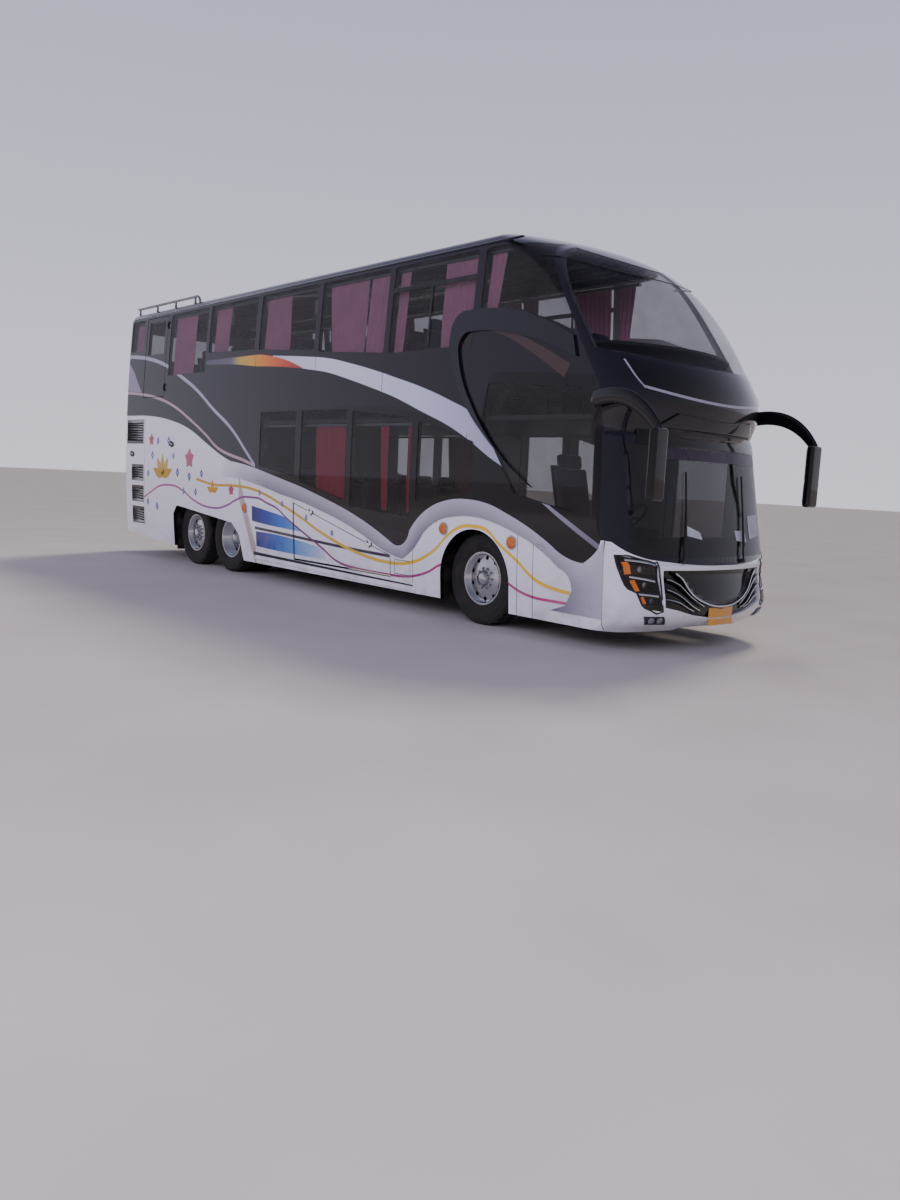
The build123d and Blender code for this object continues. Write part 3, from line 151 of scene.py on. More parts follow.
class Livery:
    """Masks on the side of the coach, worked out from where a point is."""

    def __init__(self, tree, place):
        self.tree = tree
        self.x, self.y, self.z = add(tree, "SeparateXYZ", {0: place}).outputs
        self.t = spread(tree, self.x, *LIVERY_X)
        self.h = sums(tree, "DIVIDE", self.z, LIVERY_Z)

    def edge(self, points):
        """Height of an edge that runs through the points."""
        node = add(self.tree, "FloatCurve", {1: self.t})
        curve = node.mapping.curves[0]
        while len(curve.points) < len(points):
            curve.points.new(0.5, 0.5)
        for point, (x, z) in zip(curve.points, points):
            point.location = (along(x), z / LIVERY_Z)
            point.handle_type = "AUTO_CLAMPED"
        node.mapping.update()
        return node.outputs[0]

    def both(self, *masks):
        total = masks[0]
        for mask in masks[1:]:
            total = sums(self.tree, "MULTIPLY", total, mask)
        return total

    def within(self, value, low, high, soft=EDGE_SOFT):
        """1 between two values."""
        rise = spread(self.tree, value, low - soft, low + soft)
        fall = spread(self.tree, value, high - soft, high + soft, 1.0, 0.0)
        return self.both(rise, fall)

    def between(self, x0, x1, soft=EDGE_SOFT):
        """1 between two places along the side."""
        return self.within(self.x, x0, x1, soft)

    def over(self, points, soft=EDGE_SOFT):
        """1 above an edge, 0 below it."""
        gap = sums(self.tree, "SUBTRACT", self.h, self.edge(points))
        return spread(self.tree, gap, -soft / LIVERY_Z, soft / LIVERY_Z)

    def under(self, points, soft=EDGE_SOFT):
        return sums(self.tree, "SUBTRACT", 1.0, self.over(points, soft))

    def band(self, top, foot, soft=EDGE_SOFT):
        """1 between two edges, over the run of the top one."""
        return self.both(self.under(top, soft), self.over(foot, soft), self.between(top[0][0], top[-1][0], soft))

    def line(self, points, half, soft=EDGE_SOFT):
        """1 on a line of half that width, measured upwards."""
        away = sums(self.tree, "ABSOLUTE", sums(self.tree, "SUBTRACT", self.h, self.edge(points)))
        on = spread(self.tree, away, (half - soft) / LIVERY_Z, (half + soft) / LIVERY_Z, 1.0, 0.0)
        return self.both(on, self.between(points[0][0], points[-1][0]))

    def upright(self, x, z0, z1):
        """1 on a narrow upright seam."""
        away = sums(self.tree, "ABSOLUTE", sums(self.tree, "SUBTRACT", self.x, x))
        on = spread(self.tree, away, SEAM_HALF * 0.6, SEAM_HALF * 1.4, 1.0, 0.0)
        return self.both(on, self.within(self.z, z0, z1))

    def ramp(self, *stops):
        """Colour along the side: (x, hex) stops."""
        node = add(self.tree, "ValToRGB", {0: self.t})
        ramp = node.color_ramp
        while len(ramp.elements) < len(stops):
            ramp.elements.new(0.5)
        for element, (x, code) in zip(ramp.elements, stops):
            element.position = along(x)
            element.color = tint(code)
        return node.outputs[0]


# Edges measured along the side, (x, z) in metres
WHITE_TOP = [(-6.2, 2.46), (-6.0, 2.45), (-4.8, 2.42), (-4.0, 2.33), (-3.4, 2.2), (-2.8, 1.98), (-2.4, 1.83),
             (-2.15, 1.75), (-1.5, 1.60), (-1.0, 1.5), (-0.5, 1.42), (0, 1.33), (0.5, 1.23), (1.0, 1.1),
             (1.6, 0.9), (2.08, 0.72), (2.25, 0.72), (2.4, 0.85), (2.62, 1.08), (2.9, 1.23), (3.15, 1.3),
             (3.42, 1.31), (3.7, 1.28), (4.0, 1.2), (4.4, 1.05), (4.7, 0.91), (4.95, 0.8), (5.12, 0.75),
             (5.23, 0.82), (5.42, 1.2), (6.2, 1.2)]
PINK_LINE = [(-6.2, 2.87), (-5.2, 2.8), (-4.6, 2.72), (-4.0, 2.58), (-3.4, 2.36), (-2.8, 2.1), (-2.4, 1.9),
             (-2.1, 1.82), (-1.6, 1.73), (-1.25, 1.65)]
SILVER_LINE = [(-6.2, 3.5), (-5.6, 3.47), (-5.0, 3.4), (-4.4, 3.27), (-3.8, 3.06), (-3.2, 2.82), (-2.6, 2.5),
               (-2.0, 2.2), (-1.5, 1.84), (-1.25, 1.65)]
MAUVE_TOP = [(-6.2, 3.45), (-6.0, 3.42), (-5.7, 3.25), (-5.5, 3.05), (-5.3, 2.86)]
MAUVE_FOOT = [(-6.2, 2.9), (-5.3, 2.84)]
SWOOSH_TOP = [(-0.9, 3.21), (0, 3.14), (0.5, 3.09), (1.0, 3.0), (1.6, 2.87), (2.0, 2.77), (2.5, 2.64), (3.0, 2.48),
              (3.4, 2.32), (3.55, 2.15), (3.8, 1.95), (4.1, 1.75), (4.5, 1.46), (4.9, 1.25), (5.4, 1.0)]
SWOOSH_FOOT = [(-0.9, 3.19), (-0.2, 3.01), (0.5, 2.91), (1.0, 2.8), (1.6, 2.65), (2.0, 2.54), (2.5, 2.37),
               (3.0, 2.2), (3.4, 2.02), (3.7, 1.86), (4.0, 1.72), (4.4, 1.48), (4.8, 1.25), (5.4, 0.94)]
FLAME_TOP = [(-2.9, 3.25), (-2.4, 3.255), (-1.9, 3.25), (-1.4, 3.25), (-0.9, 3.2), (-0.5, 3.12), (-0.1, 3.0)]
FLAME_FOOT = [(-2.9, 3.19), (-2.4, 3.17), (-1.9, 3.14), (-1.4, 3.09), (-0.9, 3.06), (-0.5, 3.03), (-0.1, 2.99)]
YELLOW_RIBBON = [(-3.1, 1.4), (-2.4, 1.33), (-1.9, 1.34), (-1.5, 1.33), (-1.0, 1.26), (-0.5, 1.13), (0, 0.98),
                 (0.4, 0.84), (0.9, 0.7), (1.4, 0.6), (2.0, 0.55), (2.4, 0.59), (2.8, 0.75), (3.1, 0.98),
                 (3.3, 1.08), (3.5, 1.1), (3.7, 1.08), (3.9, 0.95), (4.2, 0.78), (4.5, 0.6), (4.8, 0.54),
                 (4.95, 0.53)]
MAGENTA_RIBBON = [(-5.1, 1.02), (-4.8, 1.13), (-4.4, 1.25), (-4.0, 1.27), (-3.6, 1.2), (-3.2, 1.06), (-2.8, 0.98),
                  (-2.5, 0.97), (-2.1, 1.03), (-1.8, 1.13), (-1.5, 1.19), (-1.2, 1.19), (-0.9, 1.13), (-0.6, 1.06),
                  (-0.4, 0.96), (0, 0.8), (0.5, 0.61), (0.9, 0.45), (1.3, 0.41), (1.8, 0.4), (2.3, 0.41),
                  (2.7, 0.5), (2.96, 0.62), (3.5, 0.75), (4.07, 0.53), (4.3, 0.45), (4.6, 0.42), (4.93, 0.42)]
BLUE_TOP = [(-1.33, 1.07), (-0.9, 1.02), (-0.4, 0.95), (0.0, 0.8)]
BLUE_FOOT = [(-1.33, 0.85), (-1.25, 0.84), (0.0, 0.78)]
DARK_LINE = [(-1.25, 0.75), (-0.5, 0.72), (0.4, 0.68), (1.2, 0.65), (2.0, 0.63)]
GLAZED_TOP = [(-1.16, 2.45), (1.2, 2.45), (2.5, 2.34), (3.4, 2.1), (3.7, 2.75), (5.3, 2.65)]
GLAZED_FOOT = [(-1.16, 1.45), (0, 1.2), (5.3, 0.7)]
STRIP_TOP = [(-1.22, 0.70), (-0.6, 0.69), (0.6, 0.6)]
STRIP_FOOT = [(-1.22, 0.48), (-0.6, 0.46), (0.6, 0.45)]
BEIGE_LINE = [(-1.72, 1.34), (-1.60, 1.1), (-1.30, 0.44), (-1.24, 0.32)]
# The darker paint below the pink line, and how far forward it goes
NIGHT_TOP = PINK_LINE + [(-0.9, 1.6), (5.4, 1.2)]
NIGHT_END = -1.25
# Upright seams: place, foot and head. Then the near-level edges of a small flap
SEAMS = ((-5.08, 0.45, 2.4), (-0.2, 0.35, 1.4), (2.45, 0.35, 0.75), (2.88, 1.1, 1.33), (4.2, 0.2, 1.2),
         (4.43, 0.2, 1.15), (2.1, 0.43, 0.6), (2.4, 0.43, 0.6), (5.36, 0.22, 1.1), (1.72, 2.35, 3.1),
         (-1.37, 1.6, 3.3), (0.21, 1.4, 3.2), (-2.9, 2.0, 3.3), (3.33, 1.4, 2.1), (-4.33, 2.3, 2.74))
FLAP_EDGES = ([(2.1, 0.43), (2.4, 0.43)], [(2.1, 0.6), (2.4, 0.6)])
# Run of the magenta ribbon that the front wheel arch cuts away
ARCH_X = (3.0, 4.05)

WHITE = "e9e9ee"
CHARCOAL = "1c1820"
NIGHT = "0c0a0e"


def side_colours(tree, place):
    """Livery colours of the side, and the seams' mask."""
    livery = Livery(tree, place)

    def over(mask, colour, code):
        """Colour with a flat one, or a ramp, painted over it."""
        return mixed(tree, mask, colour, tint(code) if isinstance(code, str) else code)

    charcoal = mixed(tree, livery.under(SILVER_LINE, 0.03), tint(CHARCOAL), tint("151219"))
    colour = over(livery.both(livery.under(NIGHT_TOP), livery.between(LIVERY_X[0], NIGHT_END)), charcoal, NIGHT)
    for top, foot, code in ((GLAZED_TOP, GLAZED_FOOT, NIGHT), (MAUVE_TOP, MAUVE_FOOT, "8d8299")):
        colour = over(livery.both(livery.band(top, foot), livery.between(top[0][0], top[-1][0])), colour, code)
    for line, half, code in ((PINK_LINE, 0.022, "b39a9d"), (SILVER_LINE, 0.03, "a6a4b4")):
        colour = over(livery.line(line, half), colour, code)
    swoosh = livery.ramp((-0.9, "c9c6da"), (0.6, "d5d6e2"), (2.4, "c4c8dc"), (3.8, "a3a5b8"), (5.2, "76727f"))
    colour = over(livery.band(SWOOSH_TOP, SWOOSH_FOOT), colour, swoosh)
    flame = livery.ramp((-2.9, "4f4a5c"), (-2.1, "5d5668"), (-1.85, "b8a24a"), (-1.45, "d99a2c"),
                        (-0.95, "d8702c"), (-0.5, "c2472c"), (-0.1, "8e3a34"))
    colour = over(livery.band(FLAME_TOP, FLAME_FOOT, 0.006), colour, flame)
    lower = livery.under(WHITE_TOP)
    colour = over(lower, colour, WHITE)
    colour = over(livery.both(livery.line(BEIGE_LINE, 0.17, 0.03), lower), colour, "b7aaa6")
    blue = livery.ramp((-1.33, "1b2266"), (-0.9, "2b3f9b"), (-0.4, "2f78c4"), (0.2, "8fb2dd"), (0.6, "d2d8ea"))
    for top, foot in ((BLUE_TOP, BLUE_FOOT), (STRIP_TOP, STRIP_FOOT)):
        colour = over(livery.band(top, foot), colour, blue)
    colour = over(livery.line(DARK_LINE, 0.02), colour, "3a3442")
    gold = livery.ramp((-3.1, "cf9c34"), (-0.5, "c9a23c"), (1.2, "e0b736"), (4.9, "f0c22c"))
    colour = over(livery.both(livery.line(YELLOW_RIBBON, 0.021), lower), colour, gold)
    magenta = livery.ramp((-5.1, "b2447c"), (-2.0, "8c3f8e"), (0.2, "7d2f6c"), (4.9, "c0307a"))
    shown = sums(tree, "SUBTRACT", 1.0, livery.between(*ARCH_X))
    colour = over(livery.both(livery.line(MAGENTA_RIBBON, 0.016), lower, shown), colour, magenta)
    seams = livery.upright(*SEAMS[0])
    for seam in SEAMS[1:]:
        seams = sums(tree, "MAXIMUM", seams, livery.upright(*seam))
    for flap_edge in FLAP_EDGES:
        seams = sums(tree, "MAXIMUM", seams, livery.line(flap_edge, SEAM_HALF, SEAM_HALF / 2))
    return livery, over(seams, colour, "0d0c10"), seams


def outward(tree, livery, rear):
    """1 where the surface faces out of the body, and 1 where it faces the inside. Reveals have neither."""
    # The piece's own normal, so that an open lid or door keeps its paint
    split = add(tree, "SeparateXYZ", {0: add(tree, "TexCoord").outputs["Normal"]})
    facing = sums(tree, "MULTIPLY", split.outputs[1], sums(tree, "SIGN", livery.y))
    out = spread(tree, facing, 0.3, 0.5)
    inner = spread(tree, facing, -0.5, -0.3, 1.0, 0.0)
    if rear:
        out = sums(tree, "MAXIMUM", out, spread(tree, split.outputs[0], -0.5, -0.3, 1.0, 0.0))
        inner = sums(tree, "MAXIMUM", inner, spread(tree, split.outputs[0], 0.3, 0.5))
    return out, inner


def road_film(tree, livery, colour, place):
    """Thin dust that thickens towards the foot of the body."""
    low = spread(tree, livery.z, 0.2, 0.9, 0.55, 0.0)
    blotch = spread(tree, grain(tree, place, 260, 5.0, 0.6), 0.42, 0.7)
    film = sums(tree, "MULTIPLY", low, blotch)
    return mixed(tree, film, colour, tint("a39a92")), film


# Finishes
def lacquer(name, coat=1.0, roughness=0.28, gloss=0.1, **more):
    """Sprayed two-pack paint under clear coat."""
    return finish(name, Roughness=roughness, IOR=1.5, Specular_IOR_Level=gloss, Coat_Weight=coat,
                  Coat_Roughness=0.03, **more)


def orange_peel(tree, shader, place, seams=None):
    """Faint waves and fine peel of a sprayed panel, with its seams sunk in."""
    waves = sums(tree, "MULTIPLY_ADD", grain(tree, place, 900, 1.0), 3.0, grain(tree, place, 14, 1.0))
    relief(tree, shader, sums(tree, "SUBTRACT", waves, seams) if seams else waves, 0.5, 0.25)


def side_paint(name, rear=False):
    """Sprayed two-pack polyester on steel panels under clear coat. It mirrors softly, with faint waves."""
    made, tree, shader, place = lacquer(name, 0.8)
    livery, colour, seams = side_colours(tree, place)
    out, inner = outward(tree, livery, rear)
    colour, film = road_film(tree, livery, colour, place)
    colour = mixed(tree, out, tint("141316"), colour)
    colour = mixed(tree, inner, colour, tint("b9b6b4"))
    rough = spread(tree, sums(tree, "ADD", film, sums(tree, "MULTIPLY", inner, 0.6)), 0, 1, 0.25, 0.75)
    coloured(tree, shader, colour, rough)
    orange_peel(tree, shader, place, seams)
    return made


def plain_paint(name, code, low_dust=False):
    """Sprayed two-pack paint in one colour, a little uneven in shade and gloss."""
    made, tree, shader, place = lacquer(name)
    flow = grain(tree, place, 200, 3.0)
    colour = mixed(tree, spread(tree, flow, 0.3, 0.7), tint(code), tint(code, 0.93))
    rough = spread(tree, flow, 0.3, 0.7, 0.22, 0.32)
    if low_dust:
        colour, film = road_film(tree, Livery(tree, place), colour, place)
        rough = spread(tree, film, 0, 1, 0.25, 0.75)
    coloured(tree, shader, colour, rough)
    orange_peel(tree, shader, place)
    return made


def wave_paint():
    """Silver base coat under clear, sprayed out to white at the rear, with painted shade towards its foot and
    front end.
    """
    made, tree, shader, place = lacquer("wave_paint", 1.0, 0.3, 0.2, Metallic=0.35)
    livery = Livery(tree, place)
    top = livery.edge(WHITE_TOP)
    # Painted shade: the silver darkens from its top edge down to its foot, where the moulding curls away from the
    # light
    depth = sums(tree, "MULTIPLY", sums(tree, "SUBTRACT", sums(tree, "ADD", top, 0.016), livery.h), LIVERY_Z)
    silver = mixed(tree, spread(tree, depth, 0.0, 0.26), tint("c3c0cf"), tint("7f7a8c"))
    fade = spread(tree, livery.x, -2.2, -0.9)
    # Painted shade at the front end: pale lilac, for white in the soft shade where the moulding curls down
    toe = spread(tree, livery.x, 4.75, 5.3, 0.0, 0.85)
    coloured(tree, shader, mixed(tree, toe, mixed(tree, fade, tint(WHITE), silver), tint("d3d0dc")),
             spread(tree, grain(tree, place, 200, 3.0), 0.3, 0.7, 0.26, 0.36))
    orange_peel(tree, shader, place)
    return made


# Height between the lower windscreen and the upper one, and half the change from one film to the other
DECK_Z = 2.5
DECK_SOFT = 0.1


def tinted_glass(name, code, clear, roughness=0.02, clear_above=None):
    """Safety glass with a dark film. It mirrors the sky and shows the inside dimly.

    The see-through share takes its part of the gloss away, so the IOR is set higher than glass has."""
    made, tree, shader, place = finish(name, Roughness=roughness, IOR=1.75)
    film = spread(tree, grain(tree, place, 400, 4.0, 0.6), 0.35, 0.75, 0.0, 0.05)
    coloured(tree, shader, mixed(tree, film, tint(code), tint("9a948f")))
    share = clear
    if clear_above:
        height = add(tree, "SeparateXYZ", {0: place}).outputs[2]
        share = spread(tree, height, DECK_Z - DECK_SOFT, DECK_Z + DECK_SOFT, clear, clear_above)
    dusty = sums(tree, "SUBTRACT", 1.0, sums(tree, "MULTIPLY", film, 2.0))
    tree.links.new(sums(tree, "SUBTRACT", 1.0, sums(tree, "MULTIPLY", dusty, share)), shader.inputs["Alpha"])
    relief(tree, shader, grain(tree, place, 700, 1.0), 1.2, 0.3)
    return made


def dusty_finish(name, code, dust_code, dust_grain, dust_from, most, rough, bump, **shader_inputs):
    """Dull finish, paler and rougher where dust lies, up to a share of most."""
    made, tree, shader, place = finish(name, **shader_inputs)
    dust = spread(tree, grain(tree, place, *dust_grain), *dust_from, 0.0, most)
    coloured(tree, shader, mixed(tree, dust, tint(code), tint(dust_code)), spread(tree, dust, 0, most, *rough))
    bump_mm, depth, strength = bump
    relief(tree, shader, grain(tree, place, bump_mm, 3.0), depth, strength)
    return made


def rubber(name, code="1a1a1b"):
    """Moulded rubber, sulphur-grey and dull, paler where it is dusty."""
    return dusty_finish(name, code, "4a453f", (90, 5.0, 0.65), (0.4, 0.75), 0.5, (0.62, 0.9), (4, 0.4, 0.5),
                        Roughness=0.75, IOR=1.52)


def chassis_paint(name, code="17171a"):
    """Brushed-on satin chassis black, chipped and dusty."""
    return dusty_finish(name, code, "5b5148", (180, 6.0, 0.65), (0.42, 0.72), 0.6, (0.42, 0.85), (9, 0.8, 0.4),
                        IOR=1.5)


def plastic(name, code, roughness=0.45):
    """Injection-moulded ABS with a fine leather grain."""
    made, tree, shader, place = finish(name, IOR=1.5)
    wear = grain(tree, place, 120, 4.0)
    coloured(tree, shader, mixed(tree, spread(tree, wear, 0.45, 0.8, 0, 0.4), tint(code), tint("5a5654")),
             spread(tree, wear, 0.3, 0.7, roughness - 0.06, roughness + 0.08))
    relief(tree, shader, grain(tree, place, 3, 2.0), 0.3, 0.35)
    return made


def metal(name, code, roughness, brushed_mm=0.0, dirt_share=0.25):
    """Bare or plated metal with smears and a little grime."""
    made, tree, shader, place = finish(name, Metallic=1.0)
    smear = grain(tree, place, 60, 4.0, 0.6)
    coloured(tree, shader, mixed(tree, spread(tree, smear, 0.5, 0.85, 0, dirt_share), tint(code), tint("3a332c")),
             spread(tree, smear, 0.3, 0.75, roughness, roughness + 0.16))
    if brushed_mm:
        stretched = add(tree, "Mapping", {0: place, 3: (0.05, 1.0, 1.0)}).outputs[0]
        relief(tree, shader, grain(tree, stretched, brushed_mm, 2.0), 0.1, 0.4)
    return made


def vinyl_floor():
    """Homogeneous vinyl sheet with flecks 3 mm across."""
    made, tree, shader, place = finish("vinyl_floor", Roughness=0.5, IOR=1.5)
    fleck = add(tree, "TexVoronoi", {"Vector": place, "Scale": 1000 / 12.0}).outputs["Distance"]
    coloured(tree, shader, mixed(tree, spread(tree, fleck, 0.12, 0.2), tint("8d8c92"), tint("45444a")))
    relief(tree, shader, fleck, 0.2, 0.3)
    return made


def cloth(name, code, weave_mm, sheen, dark):
    """Woven cloth, warp and weft drawn as two wave sets. The thread is coarser than real so that it shows."""
    made, tree, shader, place = finish(name, Roughness=0.9, IOR=1.45, Sheen_Weight=sheen, Sheen_Roughness=0.5)
    waves = {"Vector": place, "Scale": 1000 / weave_mm / 20, "Distortion": 0.4}
    across, up = (add(tree, "TexWave", waves, bands_direction=way).outputs["Fac"] for way in "XZ")
    thread = sums(tree, "MULTIPLY", across, up)
    fade = spread(tree, grain(tree, place, 500, 3.0), 0.3, 0.75, 0.0, 0.35)
    coloured(tree, shader, mixed(tree, fade, mixed(tree, thread, tint(dark), tint(code)), tint(code, 0.75)))
    relief(tree, shader, thread, 0.5, 0.6)
    return made


WHITE_PAINT = plain_paint("white_paint", WHITE, low_dust=True)
CHARCOAL_PAINT = plain_paint("charcoal_paint", "17161f")
SILVER_PAINT = plain_paint("silver_paint", "9a98a6", low_dust=True)
BLACK_GLOSS = plain_paint("black_gloss", "0c0b0e")
SIDE_GLASS = tinted_glass("tinted_side_glass", "0a080b", 0.66)
SCREEN_GLASS = tinted_glass("laminated_screen_glass", "0c0d10", 0.42, clear_above=0.82)
LAMP_GLASS = tinted_glass("polycarbonate_lens", "dfe2e6", 0.75)
TYRE_RUBBER = rubber("tyre_rubber")
SATIN_PLASTIC = plastic("satin_plastic", "1b1b1e")
CHROME = metal("polished_rim", "d3d4d8", 0.12)
CURTAIN_CLOTH = cloth("curtain_cloth", "ffc2dc", 1.6, 0.3, "dd8fb0")
SEAT_CLOTH = cloth("seat_moquette", "3a3358", 2.0, 0.6, "211c36")
LOOKS = {
    "white_paint": WHITE_PAINT, "silver_paint": SILVER_PAINT, "charcoal_paint": CHARCOAL_PAINT,
    "black_paint": BLACK_GLOSS, "chassis_black": chassis_paint("chassis_black"), "dark_plastic": SATIN_PLASTIC,
    "tinted_glass": SIDE_GLASS, "clear_glass": SCREEN_GLASS, "lamp_glass": LAMP_GLASS,
    "steel": metal("machined_steel", "8b8b90", 0.34), "iron": chassis_paint("cast_iron", "242326"),
    "bright_rim": CHROME, "aluminium": metal("satin_aluminium", "a9abb0", 0.34, 1.2),
    "tyre_rubber": TYRE_RUBBER, "floor_vinyl": vinyl_floor(), "seat_cloth": SEAT_CLOTH,
    "curtain_cloth": CURTAIN_CLOTH,
}

# Looks of added pieces: material and slot
TRIM = (SATIN_PLASTIC, "dark_plastic")
GLOSS = (BLACK_GLOSS, "black_paint")
LENS = (LAMP_GLASS, "lamp_glass")
PLATED = (CHROME, "bright_rim")
HANDLE = (CHROME, "steel")
REFLECTOR = (metal("reflector_silver", "dfe1e6", 0.06, dirt_share=0.1), "bright_rim")
SEAL = (rubber("seal_rubber", "121213"), "dark_plastic")
MIRROR = (metal("silvered_mirror", "d5d8dc", 0.02, dirt_share=0.05), "clear_glass")
PLATE = (plain_paint("plate_enamel", "dd9a3c"), "white_paint")
SHADE_FILM = (plastic("sunshade_film", "2c2130", 0.3), "dark_plastic")
CARD = (plastic("blank_card", "b9bcc6", 0.7), "white_paint")
BRONZE = (plain_paint("bronze_foil", "3c2c29"), "silver_paint")
GRILLE_GLOSS = (plain_paint("brown_black_gloss", "1c1411"), "black_paint")
DIAMOND_BLUE, DIAMOND_PALE, LEAF_GOLD, PETAL_ROSE = (
    (plain_paint("vinyl_" + name, code, low_dust=True), "white_paint")
    for name, code in (("blue", "3f5192"), ("pale_blue", "b9c6e4"), ("gold", "c99a1c"), ("rose", "b8456c")))
AMBER = tinted_glass("amber_lens", "e2781c", 0.25, 0.08)
RED_LENS = tinted_glass("red_lens", "a81418", 0.25, 0.08)
SMOKED_LENS = tinted_glass("smoked_polycarbonate", "1c1613", 0.62)


# Pieces
def linked(name, data):
    """New object in the scene."""
    made = bpy.data.objects.new(name, data)
    bpy.context.scene.collection.objects.link(made)
    return made


def piece(bm, name, look, sharp=35, body=COACH, stands_for=()):
    """Finished piece from a bmesh, riding on a body."""
    mesh = bpy.data.meshes.new(name)
    bm.to_mesh(mesh)
    bm.free()
    made = linked(name, mesh)
    materials, slot = look
    for material in materials if isinstance(materials, list) else [materials]:
        mesh.materials.append(material)
    mesh.polygons.foreach_set("use_smooth", [True] * len(mesh.polygons))
    mesh.set_sharp_from_angle(angle=math.radians(sharp))
    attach(made, body)
    if stands_for:
        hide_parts(*stands_for)
    return made


def merged(node):
    """Bmesh of a CAD node with its loose triangles joined."""
    bm = bmesh.new()
    bm.from_mesh(NODES[node].data)
    bmesh.ops.remove_doubles(bm, verts=bm.verts, dist=CAD_WELD)
    return bm


def side_radius(z):
    return ARC_BELOW if z < WAIST_Z else ARC_ABOVE


def side_half(z):
    """Half the body's width at a height."""
    radius = side_radius(z)
    return WAIST_HALF - radius + math.sqrt(radius ** 2 - (z - WAIST_Z) ** 2)


def barrel_normal(point):
    """Outward normal of the body's side at a point."""
    side = 1 if point.y > 0 else -1
    centre_y = side * (WAIST_HALF - side_radius(point.z))
    return Vector((0, point.y - centre_y, point.z - WAIST_Z)).normalized()


def smoothed(node, look, sharp=28, barrel=False):
    """Smooth-shaded copy of a CAD node that stands for it."""
    made = piece(merged(node), node + "_dressed", (look, SLOT_OF[node]), sharp, NODES[node]["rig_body"], (node,))
    if barrel:
        mesh = made.data
        normals = []
        for polygon in mesh.polygons:
            for index in polygon.loop_indices:
                ideal = barrel_normal(mesh.vertices[mesh.loops[index].vertex_index].co)
                facing = ideal.dot(polygon.normal)
                normals.append(ideal if facing > 0.995 else -ideal if facing < -0.995 else polygon.normal)
        mesh.normals_split_custom_set(normals)


for node, made in NODES.items():
    made.data.materials.clear()
    made.data.materials.append(LOOKS[SLOT_OF[node]])

SIDE_PAINT = side_paint("side_paint")
REAR_PAINT = side_paint("rear_paint", rear=True)
for node in ("side_wall_right", "side_wall_left", "front_door", "middle_door", "emergency_door", "luggage_flap"):
    smoothed(node, SIDE_PAINT, barrel=True)
for node in ("side_glass_right", "side_glass_left", "emergency_door_glass", "front_door_glass",
             "middle_door_glass"):
    smoothed(node, SIDE_GLASS, barrel=True)
for node in ("rear_wall", "engine_lid"):
    smoothed(node, REAR_PAINT)
smoothed("front_fascia", WHITE_PAINT)
for node in ("front_mask", "roof_skin"):
    smoothed(node, CHARCOAL_PAINT)
smoothed("windscreens", SCREEN_GLASS)
smoothed("nose_strip", SILVER_PAINT)
smoothed("wave_mouldings", wave_paint(), sharp=12)
smoothed("hoop_mouldings", CHARCOAL_PAINT, sharp=14)
smoothed("lamp_housings", metal("smoked_reflector", "4a3f38", 0.2, dirt_share=0.1))
for node in ["dashboard", "mirrors", "fuel_tank", "side_louvres", "front_grille", "roof_hatches", "rear_glass",
             "wipers", "roof_rack"] + [node for node in NODES if node.startswith("rim_")]:
    smoothed(node, LOOKS[SLOT_OF[node]])

# Curtains: pleated cloth on rails
LOWER_CLOTH = cloth("lower_curtain_cloth", "f0607c", 1.6, 0.3, "b8344c")
UPPER_RAIL = 4.029
LOWER_RAIL = 2.209
CURTAIN_DEPTH = 0.084
PLEAT = 0.075
# Depth of a fold at the rail, and what it gains at the hem
FOLD = 0.008
FOLD_GAIN = 0.004
# Rear and front edge at the rail, then at the hem, hem height, rail height
CURTAINS = (
    (-5.78, -5.38, -5.78, -5.40, 3.50, UPPER_RAIL),
    (-4.23, -3.48, -4.23, -3.52, 3.02, UPPER_RAIL),
    (-3.12, -2.96, -3.10, -2.97, 3.02, UPPER_RAIL),
    (-2.83, -2.35, -2.83, -2.40, 3.30, UPPER_RAIL),
    (-1.28, -0.64, -1.28, -0.60, 3.24, UPPER_RAIL),
    (0.31, 1.18, 0.50, 1.18, 3.04, UPPER_RAIL),
    (1.22, 1.69, 1.22, 1.69, 3.04, UPPER_RAIL),
    (1.81, 2.01, 1.81, 1.97, 3.02, UPPER_RAIL),
    (2.64, 3.26, 2.68, 3.26, 3.02, UPPER_RAIL),
    (3.40, 3.64, 3.40, 3.56, 3.40, UPPER_RAIL),
    (0.20, 1.02, 0.26, 1.02, 1.26, LOWER_RAIL),
    (1.64, 1.82, 1.73, 1.82, 1.18, LOWER_RAIL),
    (2.19, 2.37, 2.22, 2.33, 1.18, LOWER_RAIL),
)
# On the left a lower curtain hangs only behind this place, because the middle door is in front of it
LEFT_LOWER_END = 1.7


def curtain(name, spot, side, look):
    """One pleated curtain, deeper in its folds towards the hem."""
    top0, top1, foot0, foot1, hem, rail = spot
    folds = max(3, round((top1 - top0) / PLEAT))
    bm = bmesh.new()
    bmesh.ops.create_grid(bm, x_segments=folds * 8, y_segments=14, size=0.5)
    for v in bm.verts:
        u, up = v.co.x + 0.5, v.co.y + 0.5
        x0, x1 = foot0 + (top0 - foot0) * up, foot1 + (top1 - foot1) * up
        phase = 2 * math.pi * folds * u + 0.5 * math.sin(5 * up + 3 * u)
        z = hem + (rail - hem) * up
        out = (FOLD + FOLD_GAIN * (1 - up)) * math.sin(phase) + 0.001 * math.sin(2.3 * phase + 4 * up)
        v.co = Vector((x0 + (x1 - x0) * u, side * (side_half(z) - CURTAIN_DEPTH + out), z))
    made = piece(bm, name, (look, "curtain_cloth"), 180, stands_for=("curtains",))


for number, spot in enumerate(CURTAINS, 1):
    upper = spot[5] == UPPER_RAIL
    for side_name, side in SIDES:
        if side < 0 or upper or spot[1] < LEFT_LOWER_END:
            curtain(f"curtain_{number:02d}_{side_name}", spot, side, CURTAIN_CLOTH if upper else LOWER_CLOTH)


